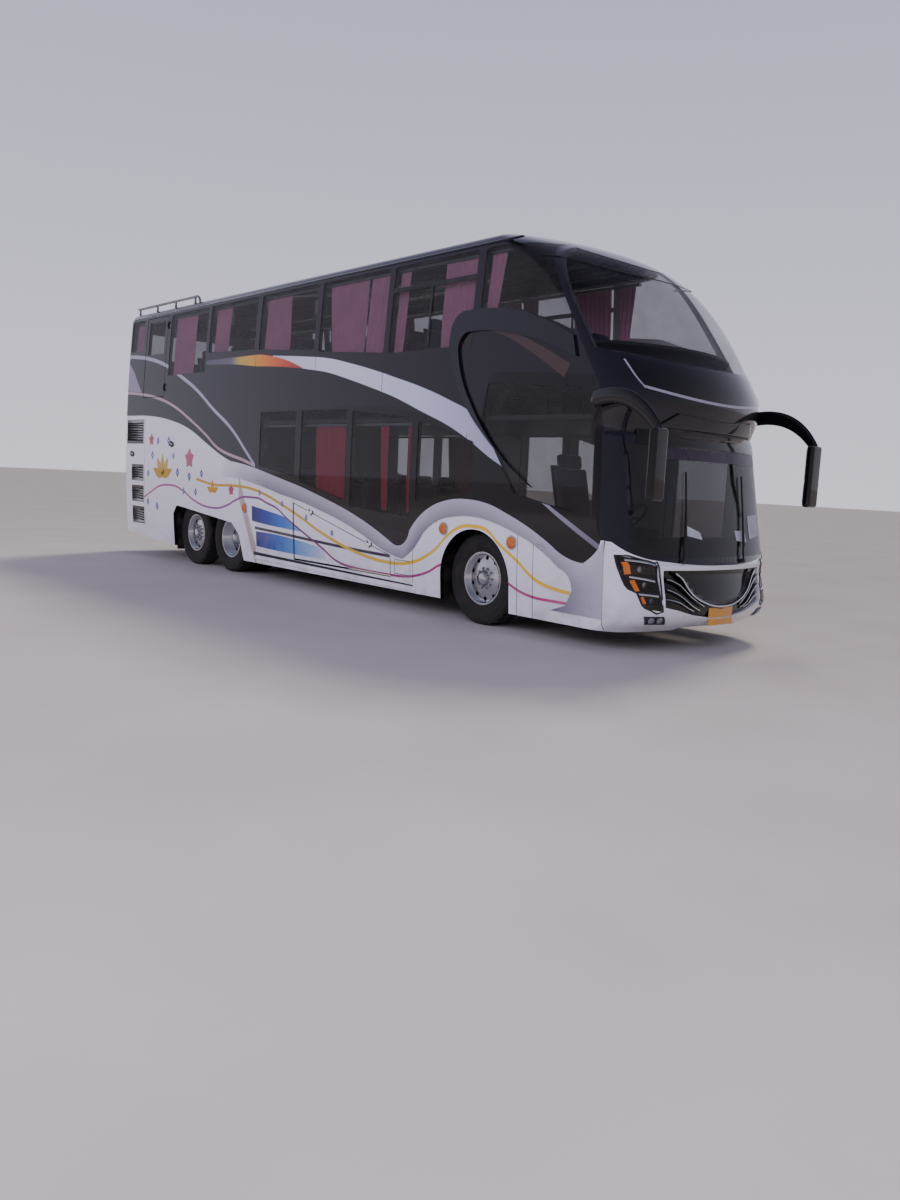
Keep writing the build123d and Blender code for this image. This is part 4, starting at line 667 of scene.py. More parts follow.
# Seats
def rounded_block(bm, size, centre, lean, bevel, crown=0.0):
    """Stuffed block: bevelled, subdivided, crowned on top, its flanks drawn in."""
    made = bmesh.ops.create_cube(bm, size=1.0)["verts"]
    bmesh.ops.scale(bm, vec=size, verts=made)
    edges = list({e for v in made for e in v.link_edges})
    result = bmesh.ops.bevel(bm, geom=edges + made, offset=bevel, segments=3, profile=0.5, affect="EDGES",
                             material=-1)
    verts = list({v for f in result["faces"] for v in f.verts} | {v for v in made if v.is_valid})
    faces = list({f for v in verts for f in v.link_faces})
    edges = list({e for f in faces for e in f.edges if e.calc_length() > bevel * 1.6})
    cut = bmesh.ops.subdivide_edges(bm, edges=edges, cuts=2, use_grid_fill=True)["geom"]
    verts = {v for f in faces if f.is_valid for v in f.verts}
    verts |= {g for g in cut if isinstance(g, bmesh.types.BMVert)}
    turn = Matrix.Rotation(math.radians(lean), 4, "Y")
    for v in verts:
        share = (1 - (2 * v.co.x / size[0]) ** 2) * (1 - (2 * v.co.y / size[1]) ** 2)
        v.co.z += crown * max(share, 0) * (1 if v.co.z > 0 else 0)
        v.co = turn @ v.co + Vector(centre)


def block(bm, size, centre, lean=0):
    """Plain box, leaned about the y axis."""
    made = bmesh.ops.create_cube(bm, size=1.0)["verts"]
    bmesh.ops.scale(bm, vec=size, verts=made)
    if lean:
        bmesh.ops.rotate(bm, verts=made, cent=(0, 0, 0), matrix=Matrix.Rotation(math.radians(lean), 3, "Y"))
    bmesh.ops.translate(bm, vec=centre, verts=made)
    return made


BACK_LEAN = 77
PAD_BEVEL = 0.03
# Pads of a place: length, side gap, thickness, how far forward, how high, lean, crown
PADS = ((0.44, 0.03, 0.13, 0.27, 0.405, 2, 0.012), (0.60, 0.05, 0.10, -0.01, 0.72, BACK_LEAN, 0.01),
        (0.15, 0.16, 0.09, -0.095, 1.09, BACK_LEAN, 0.008))
DRIVER_FLOOR, UPPER_FLOOR, LOWER_FLOOR = 0.76, 2.3, 0.46
PAIRS = ((-1.11, -0.22), (0.22, 1.11))
SEATS = [(4.33, -0.82, -0.33, DRIVER_FLOOR)]
SEATS += [(-5.25 + 0.96 * row, *pair, UPPER_FLOOR) for row in range(10) for pair in PAIRS]
SEATS += [(-1.2 + 0.92 * row, *pair, LOWER_FLOOR) for row in range(3) for pair in PAIRS]
frames = bmesh.new()
for number, (x, y0, y1, floor_z) in enumerate(SEATS, 1):
    places = 2 if y1 - y0 > 0.7 else 1
    width = (y1 - y0) / places
    bm = bmesh.new()
    for place in range(places):
        y = y0 + width * (place + 0.5)
        for length, gap, thick, ahead, up, lean, crown in PADS:
            rounded_block(bm, (length, width - gap, thick), (x + ahead, y, floor_z + up), lean, PAD_BEVEL, crown)
    pads = piece(bm, f"seat_{number:02d}_pads", (SEAT_CLOTH, "seat_cloth"), 60, stands_for=("seats",))
    for y in (y0 + 0.06, y1 - 0.06):
        block(frames, (0.05, 0.04, 0.33), (x + 0.22, y, floor_z + 0.166))
        block(frames, (0.34, 0.05, 0.02), (x + 0.22, y, floor_z + 0.0105))
    middle = (y0 + y1) / 2
    block(frames, (0.64, y1 - y0 - 0.03, 0.02), (x - 0.075, middle, floor_z + 0.73), BACK_LEAN)
    block(frames, (0.42, y1 - y0 - 0.04, 0.02), (x + 0.24, middle, floor_z + 0.335))
piece(frames, "seat_frames", TRIM, 30, stands_for=("seats",))

# Wheels: profiles are (radius, how far from the tyre's middle plane)
TREAD = ((0.52, 0.105), (0.52, 0.078), (0.509, 0.076), (0.509, 0.064), (0.52, 0.062), (0.52, 0.03), (0.509, 0.028),
         (0.509, 0.016), (0.52, 0.014))
WALL_PROFILE = ((0.2845, 0.11), (0.302, 0.112), (0.318, 0.1235), (0.345, 0.1325), (0.352, 0.1355), (0.358, 0.1335),
                (0.395, 0.1455), (0.418, 0.1475), (0.43, 0.1465), (0.47, 0.1425), (0.475, 0.1438), (0.484, 0.1405),
                (0.5, 0.132), (0.512, 0.118))
HUB_Z = 0.52
SPIN_STEPS = 90
# Faces of the tyre's shoulders lie beyond these two, and every third of them round the tyre is a slot
SHOULDER_RADIUS = 0.5135
SHOULDER_Y = 0.079
SLOT_DEPTH = 0.008
TYRE_Y = 0.9875
INNER_TYRE_Y = 0.6475
WHEEL_FACE_Y = 1.0978
AXLES = {"front": 3.525, "drive": -2.215, "tag": -3.395}
NUT_COUNT = 10
NUT_CIRCLE = 0.112
NUT_SIZE = 0.0165
# Nut, its cap and its washer: share of the nut's size, depth, middle above the disc, sides
NUT_PARTS = ((1, 0.022, 0.011, 6), (0.78, 0.016, 0.03, 16), (1.25, 0.004, 0.002, 20))
# Hub cap: radius, and height above its own face
HUB_CAP = ((0, 0.006), (0.03, 0.005), (0.056, 0.001), (0.0645, -0.004), (0.0645, -0.012), (0, -0.012))


def spun(bm, profile, x, steps=SPIN_STEPS):
    """Ring or dish from a closed (radius, y) profile turned about a wheel's axis."""
    verts = [bm.verts.new((x, y, HUB_Z + radius)) for radius, y in profile]
    edges = [bm.edges.new(pair) for pair in zip(verts, verts[1:] + verts[:1])]
    bmesh.ops.spin(bm, geom=verts + edges, cent=(x, 0, HUB_Z), axis=(0, 1, 0), dvec=(0, 0, 0),
                   angle=2 * math.pi, steps=steps, use_merge=True)
    bmesh.ops.remove_doubles(bm, verts=bm.verts, dist=WHEEL_WELD)


def tyre_form(bm, x, centre, side):
    """Road tyre: ribs with three grooves, a bead ring, and slots across both shoulders."""
    half = list(WALL_PROFILE) + list(TREAD)
    profile = [(radius, centre + side * y) for radius, y in half]
    profile += [(radius, centre - side * y) for radius, y in reversed(half)]
    before = set(bm.faces)
    spun(bm, profile, x)
    slots = []
    for face in [f for f in bm.faces if f not in before]:
        spot = face.calc_center_median()
        radius = math.hypot(spot.x - x, spot.z - HUB_Z)
        if radius > SHOULDER_RADIUS and abs(spot.y - centre) > SHOULDER_Y:
            turn = math.atan2(spot.x - x, spot.z - HUB_Z)
            if round(turn / (2 * math.pi / SPIN_STEPS) - 0.5) % 3 == 0:
                slots.append(face)
    for face in bmesh.ops.extrude_discrete_faces(bm, faces=slots)["faces"]:
        middle = face.calc_center_median()
        inward = Vector((x - middle.x, 0, HUB_Z - middle.z)).normalized()
        for v in face.verts:
            v.co += inward * SLOT_DEPTH


def wheel_nuts(bm, x, y, side):
    """Capped nuts on a bolt circle."""
    for i in range(NUT_COUNT):
        turn = 2 * math.pi * (i + 0.5) / NUT_COUNT
        spot = Vector((x + NUT_CIRCLE * math.sin(turn), y, HUB_Z + NUT_CIRCLE * math.cos(turn)))
        for share, depth, offset, segments in NUT_PARTS:
            radius = NUT_SIZE * share
            nut = bmesh.ops.create_cone(bm, cap_ends=True, segments=segments, radius1=radius,
                                        radius2=radius * 0.9, depth=depth)["verts"]
            turned = Matrix.Rotation(math.radians(-90 * side), 3, "X")
            bmesh.ops.rotate(bm, verts=nut, cent=(0, 0, 0), matrix=turned)
            bmesh.ops.translate(bm, verts=nut, vec=spot + Vector((0, side * offset, 0)))


for place, x in AXLES.items():
    disc = WHEEL_FACE_Y - (0.15 if place == "drive" else 0.045)
    cap_face = disc + (0.11 if place == "drive" else 0.062)
    for side_name, side in SIDES:
        wheel = f"{place}_{side_name}"
        bm = bmesh.new()
        tyre_form(bm, x, side * TYRE_Y, side)
        if place == "drive":
            tyre_form(bm, x, side * INNER_TYRE_Y, side)
        bmesh.ops.recalc_face_normals(bm, faces=bm.faces)
        piece(bm, f"tyre_{wheel}_tread", (TYRE_RUBBER, "tyre_rubber"), 40, f"wheel_{wheel}", (f"tyre_{wheel}",))
        bm = bmesh.new()
        wheel_nuts(bm, x, side * (disc + 0.001), side)
        spun(bm, [(radius, side * (cap_face + up)) for radius, up in HUB_CAP], x, 40)
        bmesh.ops.recalc_face_normals(bm, faces=bm.faces)
        piece(bm, f"wheel_nuts_{wheel}", PLATED, 30, f"wheel_{wheel}")

# Pieces laid on the skin
SKIN_STARTS = ("side_wall", "side_glass", "roof_skin", "rear_wall", "rear_glass", "front_mask", "front_fascia",
               "windscreens", "engine_lid", "front_door", "middle_door", "emergency_door", "luggage_flap", "lamps",
               "front_grille")
points, faces = [], []
for node in NODES:
    if node.startswith(SKIN_STARTS):
        start = len(points)
        points += [v.co.copy() for v in NODES[node].data.vertices]
        faces += [[start + i for i in p.vertices] for p in NODES[node].data.polygons]
SKIN = BVHTree.FromPolygons(points, faces)
WAYS = {"front": Vector((1, 0, 0)), "rear": Vector((-1, 0, 0)), "right": Vector((0, -1, 0)),
        "left": Vector((0, 1, 0))}
FRONT = WAYS["front"]
PROBE = 0.009
NORMAL_PROBE = 0.03
# Where rays at the skin start, and how far above it a moulding and a film lie
RAY_START = 9
ON_SKIN = 0.0005
FILM_ON_SKIN = 0.0003


def on_face(way, across, up):
    """Point on a face's middle plane from how far across and how high."""
    return Vector((across, 0, up)) if way.y else Vector((0, across, up))


def skin_point(way, across, up):
    """Outermost point of the skin at a place, with the gaps between panels bridged."""
    reach = []
    for da, du in ((0, 0), (PROBE, 0), (-PROBE, 0), (0, PROBE), (0, -PROBE)):
        spot = SKIN.ray_cast(on_face(way, across + da, up + du) + way * RAY_START, -way)[0]
        if spot:
            reach.append(spot.dot(way))
    return on_face(way, across, up) + way * max(reach)


def skin_normal(way, across, up):
    """Outward direction of the skin at a place."""
    spots = [skin_point(way, across + da, up + du)
             for da, du in ((NORMAL_PROBE, 0), (-NORMAL_PROBE, 0), (0, NORMAL_PROBE), (0, -NORMAL_PROBE))]
    normal = (spots[0] - spots[1]).cross(spots[2] - spots[3]).normalized()
    return normal if normal.dot(way) > 0 else -normal


def smooth_run(points, steps=6, closed=False):
    """Catmull-Rom curve through flat points."""
    spots = [Vector(p) for p in points]
    count = len(spots)
    run = []
    for i in range(count if closed else count - 1):
        if closed:
            a, b, c, d = (spots[(i + k) % count] for k in (-1, 0, 1, 2))
        else:
            b, c = spots[i], spots[i + 1]
            a, d = spots[max(i - 1, 0)], spots[min(i + 2, count - 1)]
        for step in range(steps):
            t = step / steps
            run.append(0.5 * (2 * b + (c - a) * t + (2 * a - 5 * b + 4 * c - d) * t ** 2
                              + (3 * b - a - 3 * c + d) * t ** 3))
    return run if closed else run + [spots[-1]]


def raised(bm, way):
    """Flat faces grown to a plate."""
    grown = bmesh.ops.extrude_face_region(bm, geom=bm.faces[:])["geom"]
    bmesh.ops.translate(bm, vec=way, verts=[g for g in grown if isinstance(g, bmesh.types.BMVert)])
    bmesh.ops.recalc_face_normals(bm, faces=bm.faces)


def thickened(bm, thick, edge):
    """Flat faces grown to a plate along x, with the outer edge rounded."""
    raised(bm, (thick, 0, 0))
    if edge:
        rim = [e for e in bm.edges if all(v.co.x > 0.6 * thick for v in e.verts)
               and any(abs(f.normal.x) < 0.5 for f in e.link_faces)]
        bmesh.ops.bevel(bm, geom=rim, offset=edge, segments=2, profile=0.5, affect="EDGES", material=-1)


def poured(part, bm):
    """Adds one bmesh to another."""
    mesh = bpy.data.meshes.new("part")
    part.to_mesh(mesh)
    part.free()
    bm.from_mesh(mesh)
    bpy.data.meshes.remove(mesh)


def slab(bm, outline, thick, edge=0.0, step=0.05):
    """Plate of a flat outline, cut finely enough to bend."""
    part = bmesh.new()
    part.faces.new([part.verts.new((0.0, a, b)) for a, b in outline])
    for axis in (1, 2):
        spots = [v.co[axis] for v in part.verts]
        at = min(spots) + step
        while at < max(spots) - 0.2 * step:
            spot, way = Vector(), Vector()
            spot[axis], way[axis] = at, 1.0
            everything = part.verts[:] + part.edges[:] + part.faces[:]
            bmesh.ops.bisect_plane(part, geom=everything, dist=0.0001, plane_co=spot, plane_no=way)
            at += step
    thickened(part, thick, edge)
    poured(part, bm)


def strip(bm, points, width, thick, edge=0.0, closed=False, steps=6, taper=(1.0, 1.0)):
    """Flat bar of a width along a smooth curve. taper gives the width's share at each end."""
    run = smooth_run(points, steps, closed)
    count = len(run)
    part = bmesh.new()
    pairs = []
    for i, spot in enumerate(run):
        before = run[i - 1] if closed or i else run[0]
        after = run[(i + 1) % count] if closed else run[min(i + 1, count - 1)]
        along_run = (after - before).normalized()
        side = Vector((-along_run.y, along_run.x))
        share = taper[0] + (taper[1] - taper[0]) * i / (count - 1)
        pairs.append([part.verts.new((0, *(spot + side * width * share * k))) for k in (0.5, -0.5)])
    loop = zip(pairs, pairs[1:] + pairs[:1]) if closed else zip(pairs, pairs[1:])
    for (a, b), (c, d) in loop:
        part.faces.new((a, b, d, c))
    thickened(part, thick, edge)
    poured(part, bm)


def laid(name, face, look, forms, lift=ON_SKIN, sharp=35, body=COACH):
    """Piece made of slabs and strips laid on a face. Each form is a function that fills a bmesh."""
    bm = bmesh.new()
    for form in forms:
        form(bm)
    way = WAYS[face]
    for v in bm.verts:
        high, across, up = v.co
        v.co = skin_point(way, across, up) + way * (high + lift)
    bmesh.ops.recalc_face_normals(bm, faces=bm.faces)
    piece(bm, name, look, sharp, body)


def lathe(bm, profile, spot, axis, steps=28):
    """Turned form: (radius, height) points turned about an axis from a spot, closed at both poles."""
    turn = Vector((0, 0, 1)).rotation_difference(Vector(axis)).to_matrix()
    part = bmesh.new()
    verts = [part.verts.new((radius, 0, height)) for radius, height in profile]
    edges = [part.edges.new(pair) for pair in zip(verts, verts[1:])]
    bmesh.ops.spin(part, geom=verts + edges, cent=(0, 0, 0), axis=(0, 0, 1), dvec=(0, 0, 0),
                   angle=2 * math.pi, steps=steps, use_merge=True)
    bmesh.ops.remove_doubles(part, verts=part.verts, dist=LATHE_WELD)
    bmesh.ops.recalc_face_normals(part, faces=part.faces)
    for v in part.verts:
        v.co = turn @ v.co + Vector(spot)
    poured(part, bm)


def whole(half):
    """Run across the front from its half, which ends on the middle plane."""
    return half + [(-a, b) for a, b in reversed(half[:-1])]


def one(make, *args, **more):
    """Form that adds one slab or strip."""
    return lambda bm: make(bm, *args, **more)


def both_sides(make, outline, *args, **more):
    """Form on the right and its twin on the left."""
    def fill(bm):
        make(bm, outline, *args, **more)
        make(bm, [(-a, b) for a, b in reversed(outline)], *args, **more)
    return fill


# Front: lamps, grille, trim (outlines are y and z on the right half)
HEADLAMP_EDGE = [(-0.856, 0.44), (-1.004, 0.462), (-1.067, 0.501), (-1.102, 0.615), (-1.162, 0.652),
                 (-1.189, 0.74), (-1.229, 0.962), (-1.065, 0.935), (-0.93, 0.902), (-0.902, 0.88)]
HEADLAMP_SHELVES = ([(-1.18, 0.925), (-1.05, 0.912), (-0.93, 0.884)],
                    [(-1.15, 0.766), (-1.04, 0.75), (-0.928, 0.728)],
                    [(-1.095, 0.607), (-1.01, 0.60), (-0.905, 0.588)])
# Amber blocks of the headlamp and their widths
AMBER_BLOCKS = (([(-1.183, 0.905), (-1.158, 0.79)], 0.04), ([(-1.132, 0.735), (-1.098, 0.632)], 0.036),
                ([(-1.068, 0.58), (-1.048, 0.515)], 0.03))
# Projectors of the headlamp: y, z, radius of the bowl round them. Then the fog lamps' y
BOWLS = ((1.052, 0.842, 0.066), (1.012, 0.69, 0.062), (0.962, 0.542, 0.058))
FOG_EDGE = [(-1.042, 0.394), (-0.83, 0.392), (-0.764, 0.304), (-0.989, 0.309)]
FOG_LAMPS_Y = (0.955, 0.862)
FOG_LAMP_Z = 0.35
FOG_LAMP_RADIUS = 0.034
GRILLE_LINES = ([(-0.806, 0.75), (-0.74, 0.733), (-0.64, 0.688), (-0.5, 0.578), (-0.31, 0.476)],
                [(-0.806, 0.652), (-0.73, 0.63), (-0.612, 0.574), (-0.48, 0.487), (-0.353, 0.434)],
                [(-0.806, 0.557), (-0.743, 0.548), (-0.64, 0.52), (-0.54, 0.47), (-0.436, 0.432)])
GRILLE_U = whole([(-0.7, 0.808), (-0.615, 0.75), (-0.509, 0.624), (-0.378, 0.543), (-0.19, 0.484), (0, 0.468)])
GRILLE_CENTRE = whole([(-0.655, 0.79), (-0.575, 0.722), (-0.478, 0.615), (-0.352, 0.545), (-0.18, 0.497),
                       (0, 0.485)])
ROOF_CAP_SEAM = whole([(-1.136, 3.926), (-0.891, 3.839), (-0.6, 3.772), (-0.3, 3.745), (0, 3.74)])
BROW = (whole([(-0.8, 2.195), (-0.615, 2.19), (-0.3, 2.188), (0, 2.186)])
        + whole([(0.765, 2.235), (0.623, 2.335), (0.43, 2.318), (0.2, 2.298), (0, 2.292)]))
NOSE_PANEL = (whole([(-1.0, 2.585), (-0.689, 2.525), (-0.331, 2.495), (0, 2.487)])
              + whole([(1.1, 2.84), (0.8, 2.8), (0.4, 2.775), (0, 2.77)]))
NOSE_STRIP_END = [(-0.995, 2.563), (-1.05, 2.66), (-1.085, 2.82)]
PLATE_SIZE = (0.42, 0.18)
PLATE_GAP = 0.003


def hung_plate(name, face, centre):
    """Blank number plate with a pressed rim, flat in front of whatever it hangs on."""
    way = WAYS[face]
    (across, up), (width, height) = centre, PLATE_SIZE
    corners = [(across + a * width / 2, up + b * height / 2) for a, b in ((-1, -1), (1, -1), (1, 1), (-1, 1))]
    reach = max(skin_point(way, *spot).dot(way) for spot in corners + [centre]) + PLATE_GAP
    bm = bmesh.new()
    slab(bm, corners, 0.002, 0.0006, 1.0)
    inner = [(across + (a - across) * 0.96, up + (b - up) * 0.92) for a, b in corners]
    for a, b in zip(inner, inner[1:] + inner[:1]):
        strip(bm, [a, ((a[0] + b[0]) / 2, (a[1] + b[1]) / 2), b], 0.006, 0.0035, 0.001)
    for v in bm.verts:
        high, a, b = v.co
        v.co = on_face(way, a, b) + way * (reach + high)
    bmesh.ops.recalc_face_normals(bm, faces=bm.faces)
    piece(bm, name, PLATE, 30)


laid("headlamp_frames", "front", TRIM,
     [both_sides(strip, HEADLAMP_EDGE, 0.016, 0.006, 0.002, closed=True, steps=2)])
laid("headlamp_shelves", "front", REFLECTOR,
     [both_sides(strip, shelf, 0.018, 0.004, 0.001) for shelf in HEADLAMP_SHELVES], 0.0012)
bm = bmesh.new()
for side in (-1, 1):
    for y, z, radius in BOWLS:
        spot = skin_point(FRONT, side * y, z) - Vector((0.0105, 0, 0))
        lathe(bm, [(0, 0), (radius * 0.42, -0.002), (radius * 0.55, -0.008), (radius * 0.58, -0.03), (0, -0.03)],
              spot - Vector((0.004, 0, 0)), FRONT)
piece(bm, "headlamp_projectors", LENS, 40)
laid("fog_lamp_frames", "front", TRIM, [both_sides(slab, FOG_EDGE, 0.006, 0.003, 0.03)])
bm = bmesh.new()
for side in (-1, 1):
    for y in FOG_LAMPS_Y:
        radius = FOG_LAMP_RADIUS
        lathe(bm, [(0, 0.012), (radius * 0.5, 0.0105), (radius * 0.85, 0.006), (radius, 0.001), (radius, -0.012),
                   (0, -0.012)],
              skin_point(FRONT, side * y, FOG_LAMP_Z) + Vector((0.006, 0, 0)),
              skin_normal(FRONT, side * y, FOG_LAMP_Z))
piece(bm, "fog_lamp_lenses", LENS, 40)
hung_plate("number_plate_front", "front", (0, 0.365))
laid("roof_cap_seam", "front", SEAL, [one(strip, ROOF_CAP_SEAM, 0.014, 0.003, 0.001)])
laid("lamp_amber_uprights", "front", (AMBER, "lamp_glass"),
     [both_sides(strip, run, width, 0.0006) for run, width in AMBER_BLOCKS], FILM_ON_SKIN)
# Bright metal strips on the grille bars' edges: partly their silver trim, partly painted highlights along the
# edges. The U strip is chrome trim
laid("grille_bar_edges", "front", REFLECTOR,
     [both_sides(strip, spots, 0.007, 0.0012, 0.0004) for spots in GRILLE_LINES]
     + [one(strip, GRILLE_U, 0.014, 0.0014, 0.0005)], 0.0006)
laid("grille_centre", "front", GRILLE_GLOSS, [one(slab, GRILLE_CENTRE, 0.004, 0.001, 0.06)], -0.012)
laid("brow_visor", "front", (CHARCOAL_PAINT, "charcoal_paint"), [one(slab, BROW, 0.024, 0.008, 0.06)])
# Dark strip along the brow's lower edge: painted shade under the brow
laid("brow_shadow_lip", "front", TRIM,
     [one(strip, whole([(-0.8, 2.182), (-0.4, 2.176), (0, 2.173)]), 0.02, 0.012, 0.003)])
laid("nose_gloss_panel", "front", GLOSS, [one(slab, NOSE_PANEL, 0.0006, step=0.06)], FILM_ON_SKIN)
laid("nose_strip_ends", "front", (SILVER_PAINT, "silver_paint"),
     [both_sides(strip, NOSE_STRIP_END, 0.014, 0.003, 0.001)])

# Films and cards on the lower screen. The black band above them stands partly for the screen's dark top and partly
# for painted shade under the brow
for name, look, thick, step, outlines in (
        ("screen_sunshade", SHADE_FILM, 0.0004, 0.08, [[(-0.72, 1.9), (1, 1.9), (1, 2.014), (-0.72, 2.014)]]),
        ("screen_top_painted_shade", GLOSS, 0.0006, 0.08, [[(-1.02, 2.028), (1.02, 2.028), (1, 2.17), (-1, 2.17)]]),
        ("dash_cards", CARD, 0.0004, 0.1, [[(-0.52, 1.17), (-0.3, 1.13), (-0.33, 1.2), (-0.52, 1.27)],
                                           [(0.3, 1.12), (0.54, 1.1), (0.5, 1.22), (0.27, 1.22)],
                                           [(0.62, 1.13), (0.92, 1.16), (0.92, 1.39), (0.62, 1.37)]])):
    laid(name, "front", look, [one(slab, outline, thick, 0, step) for outline in outlines], FILM_ON_SKIN)

# Sides: strips, latches
LATCHES = ((4.55, 0.98), (-4.02, 1.95), (-5.60, 1.77))
LATCH_SIZE = (0.20, 0.10)
LATCH_LEAN = -0.12
BRONZE_RUN = [(3.42, 3.24), (3.7, 3.19), (4.0, 3.09), (4.4, 2.9), (4.74, 2.72)]
SLOT_RUN = [(-1.3, 0.372), (0, 0.352), (1.3, 0.332)]
# On the left the slot ends before the middle door
SLOT_END = {"right": (2.45, 0.318), "left": (1.62, 0.328)}
LIP_RUN = [(-1.34, 0.305), (0, 0.288), (1.3, 0.272), (2.5, 0.262)]


def oval(centre, count=28):
    """Outline of a leaning oval of a latch's size."""
    points = []
    for i in range(count):
        turn = 2 * math.pi * i / count
        a, b = LATCH_SIZE[0] / 2 * math.cos(turn), LATCH_SIZE[1] / 2 * math.sin(turn)
        points.append((centre[0] + a * math.cos(LATCH_LEAN) - b * math.sin(LATCH_LEAN),
                       centre[1] + a * math.sin(LATCH_LEAN) + b * math.cos(LATCH_LEAN)))
    return points


for side, _ in SIDES:
    laid(f"latch_cups_{side}", side, TRIM, [one(slab, oval(spot), 0.004, 0.0015, 0.04) for spot in LATCHES])
    laid(f"latch_handles_{side}", side, HANDLE,
         [one(strip, [(a - 0.06, b + 0.012), (a, b + 0.006), (a + 0.06, b - 0.012)], 0.022, 0.012, 0.004)
          for a, b in LATCHES], 0.0035)
    laid(f"window_slider_{side}", side, TRIM,
         [one(strip, [(1.81, 3.805), (2.5, 3.805), (3.26, 3.805)], 0.055, 0.006, 0.002),
          one(strip, [(2.54, 3.09), (2.54, 3.5), (2.54, 3.78)], 0.035, 0.006, 0.002)])
    laid(f"bronze_stripe_{side}", side, BRONZE, [one(strip, BRONZE_RUN, 0.15, 0.0006, taper=(0.12, 1.0))], 0.0012)
    laid(f"skirt_slot_{side}", side, TRIM,
         [one(strip, SLOT_RUN + [SLOT_END[side]], 0.046, 0.002, 0.0008, taper=(1.0, 0.35))])
    laid(f"skirt_lip_{side}", side, (WHITE_PAINT, "white_paint"), [one(strip, LIP_RUN, 0.035, 0.012, 0.005)])

# Lamps of the sides and tail, and lenses of the headlamps
ORANGE_LAMPS = ((-1.54, 1.03), (3.01, 1.04), (4.11, 0.97))
ORANGE_BEZEL = [(0.0625, 0.0), (0.074, 0.001), (0.076, 0.008), (0.07, 0.014), (0.0632, 0.014)]
TAIL_BEZEL = [(0.069, 0.0), (0.082, 0.001), (0.083, 0.009), (0.076, 0.014), (0.0695, 0.014)]
TAIL_LAMP_Y = 1.045
TAIL_LAMPS_Z = (0.76, 0.93, 1.10)
TAIL_BEZEL_X = -6.0105
BEZEL_STEPS = 36
HEADLAMPS_FROM_X = 5.3
TAIL_LAMPS_TO_X = -5.5


def lamp_lens(centre):
    """Index of the lens look for a CAD lamp at a place: smoked, amber or red."""
    if centre.x > HEADLAMPS_FROM_X:
        return 0
    return 1 if centre.x > TAIL_LAMPS_TO_X or abs(centre.z - TAIL_LAMPS_Z[1]) < 0.05 else 2


bm = merged("lamps")
for face in bm.faces:
    face.material_index = lamp_lens(face.calc_center_median())
piece(bm, "lamp_lenses", ([SMOKED_LENS, AMBER, RED_LENS], "lamp_glass"), 28, stands_for=("lamps",))
bm = bmesh.new()
for _, side in SIDES:
    for x, z in ORANGE_LAMPS:
        base = Vector((x, side * (side_half(z) + ON_SKIN), z))
        lathe(bm, ORANGE_BEZEL, base, barrel_normal(base), BEZEL_STEPS)
    for z in TAIL_LAMPS_Z:
        lathe(bm, TAIL_BEZEL, (TAIL_BEZEL_X, side * TAIL_LAMP_Y, z), WAYS["rear"], BEZEL_STEPS)
piece(bm, "lamp_bezels", PLATED, 40)

# Mirrors: two glasses in each head
MIRROR_GLASS_X = 5.942 - 0.0025
MIRROR_GLASS_Y = 1.372
MIRROR_GLASS = (0.004, 0.144)
bm = bmesh.new()
for side in (-1, 1):
    for z0, z1 in ((1.78, 2.11), (1.53, 1.75)):
        glass = block(bm, (*MIRROR_GLASS, z1 - z0), (MIRROR_GLASS_X, side * MIRROR_GLASS_Y, (z0 + z1) / 2))
        edges = list({e for v in glass for e in v.link_edges if abs(e.verts[0].co.x - e.verts[1].co.x) > 0.003})
        bmesh.ops.bevel(bm, geom=edges, offset=0.02, segments=4, profile=0.5, affect="EDGES", material=-1)
piece(bm, "mirror_glasses", MIRROR, 30)

# Vinyl motifs on the white sides: diamonds, leaves and petals
VINYL_FILM = 0.0004
VINYL_STEP = 0.08
# Foot, length, width, number of petals
SPRAYS = (((-4.35, 1.40), 0.40, 0.15, 5), ((-2.55, 1.22), 0.20, 0.09, 3))
ROSETTES = (((-3.35, 1.72), 0.17, 0.13, 5), ((-4.80, 2.02), 0.11, 0.085, 5), ((-1.95, 1.27), 0.09, 0.07, 5))
HOOP_INFILL = [(3.13, 3.05), (3.30, 3.02), (3.30, 3.20), (3.22, 3.20), (3.15, 3.14)]
# Diamonds stand on the rear flank, and these few along the wave
WAVE_DIAMONDS_X = (-1.1, -0.48, 0.14, 0.76)


def height_on(points, x):
    """Height of a measured edge at a place along the side."""
    for (x0, z0), (x1, z1) in zip(points, points[1:]):
        if x0 <= x <= x1:
            return z0 + (z1 - z0) * (x - x0) / (x1 - x0)
    return points[-1][1]


def diamond(centre, size):
    a, b = centre
    return [(a - 0.75 * size, b), (a, b - size), (a + 0.75 * size, b), (a, b + size)]


def petal(foot, length, width, lean, count=10):
    """Outline of a leaf that grows from its foot."""
    half = [(length * i / count, width / 2 * math.sin(math.pi * (i / count) ** 0.8)) for i in range(count + 1)]
    outline = half[:-1] + [(a, -b) for a, b in reversed(half[1:])]
    return [(foot[0] + a * math.cos(lean) - b * math.sin(lean), foot[1] + a * math.sin(lean) + b * math.cos(lean))
            for a, b in outline]


def vinyl(name, side, look, outlines, lift=FILM_ON_SKIN, body=COACH):
    """Cut film on a side."""
    forms = [one(slab, outline, VINYL_FILM, step=VINYL_STEP) for outline in outlines]
    laid(name, side, look, forms, lift, 60, body)


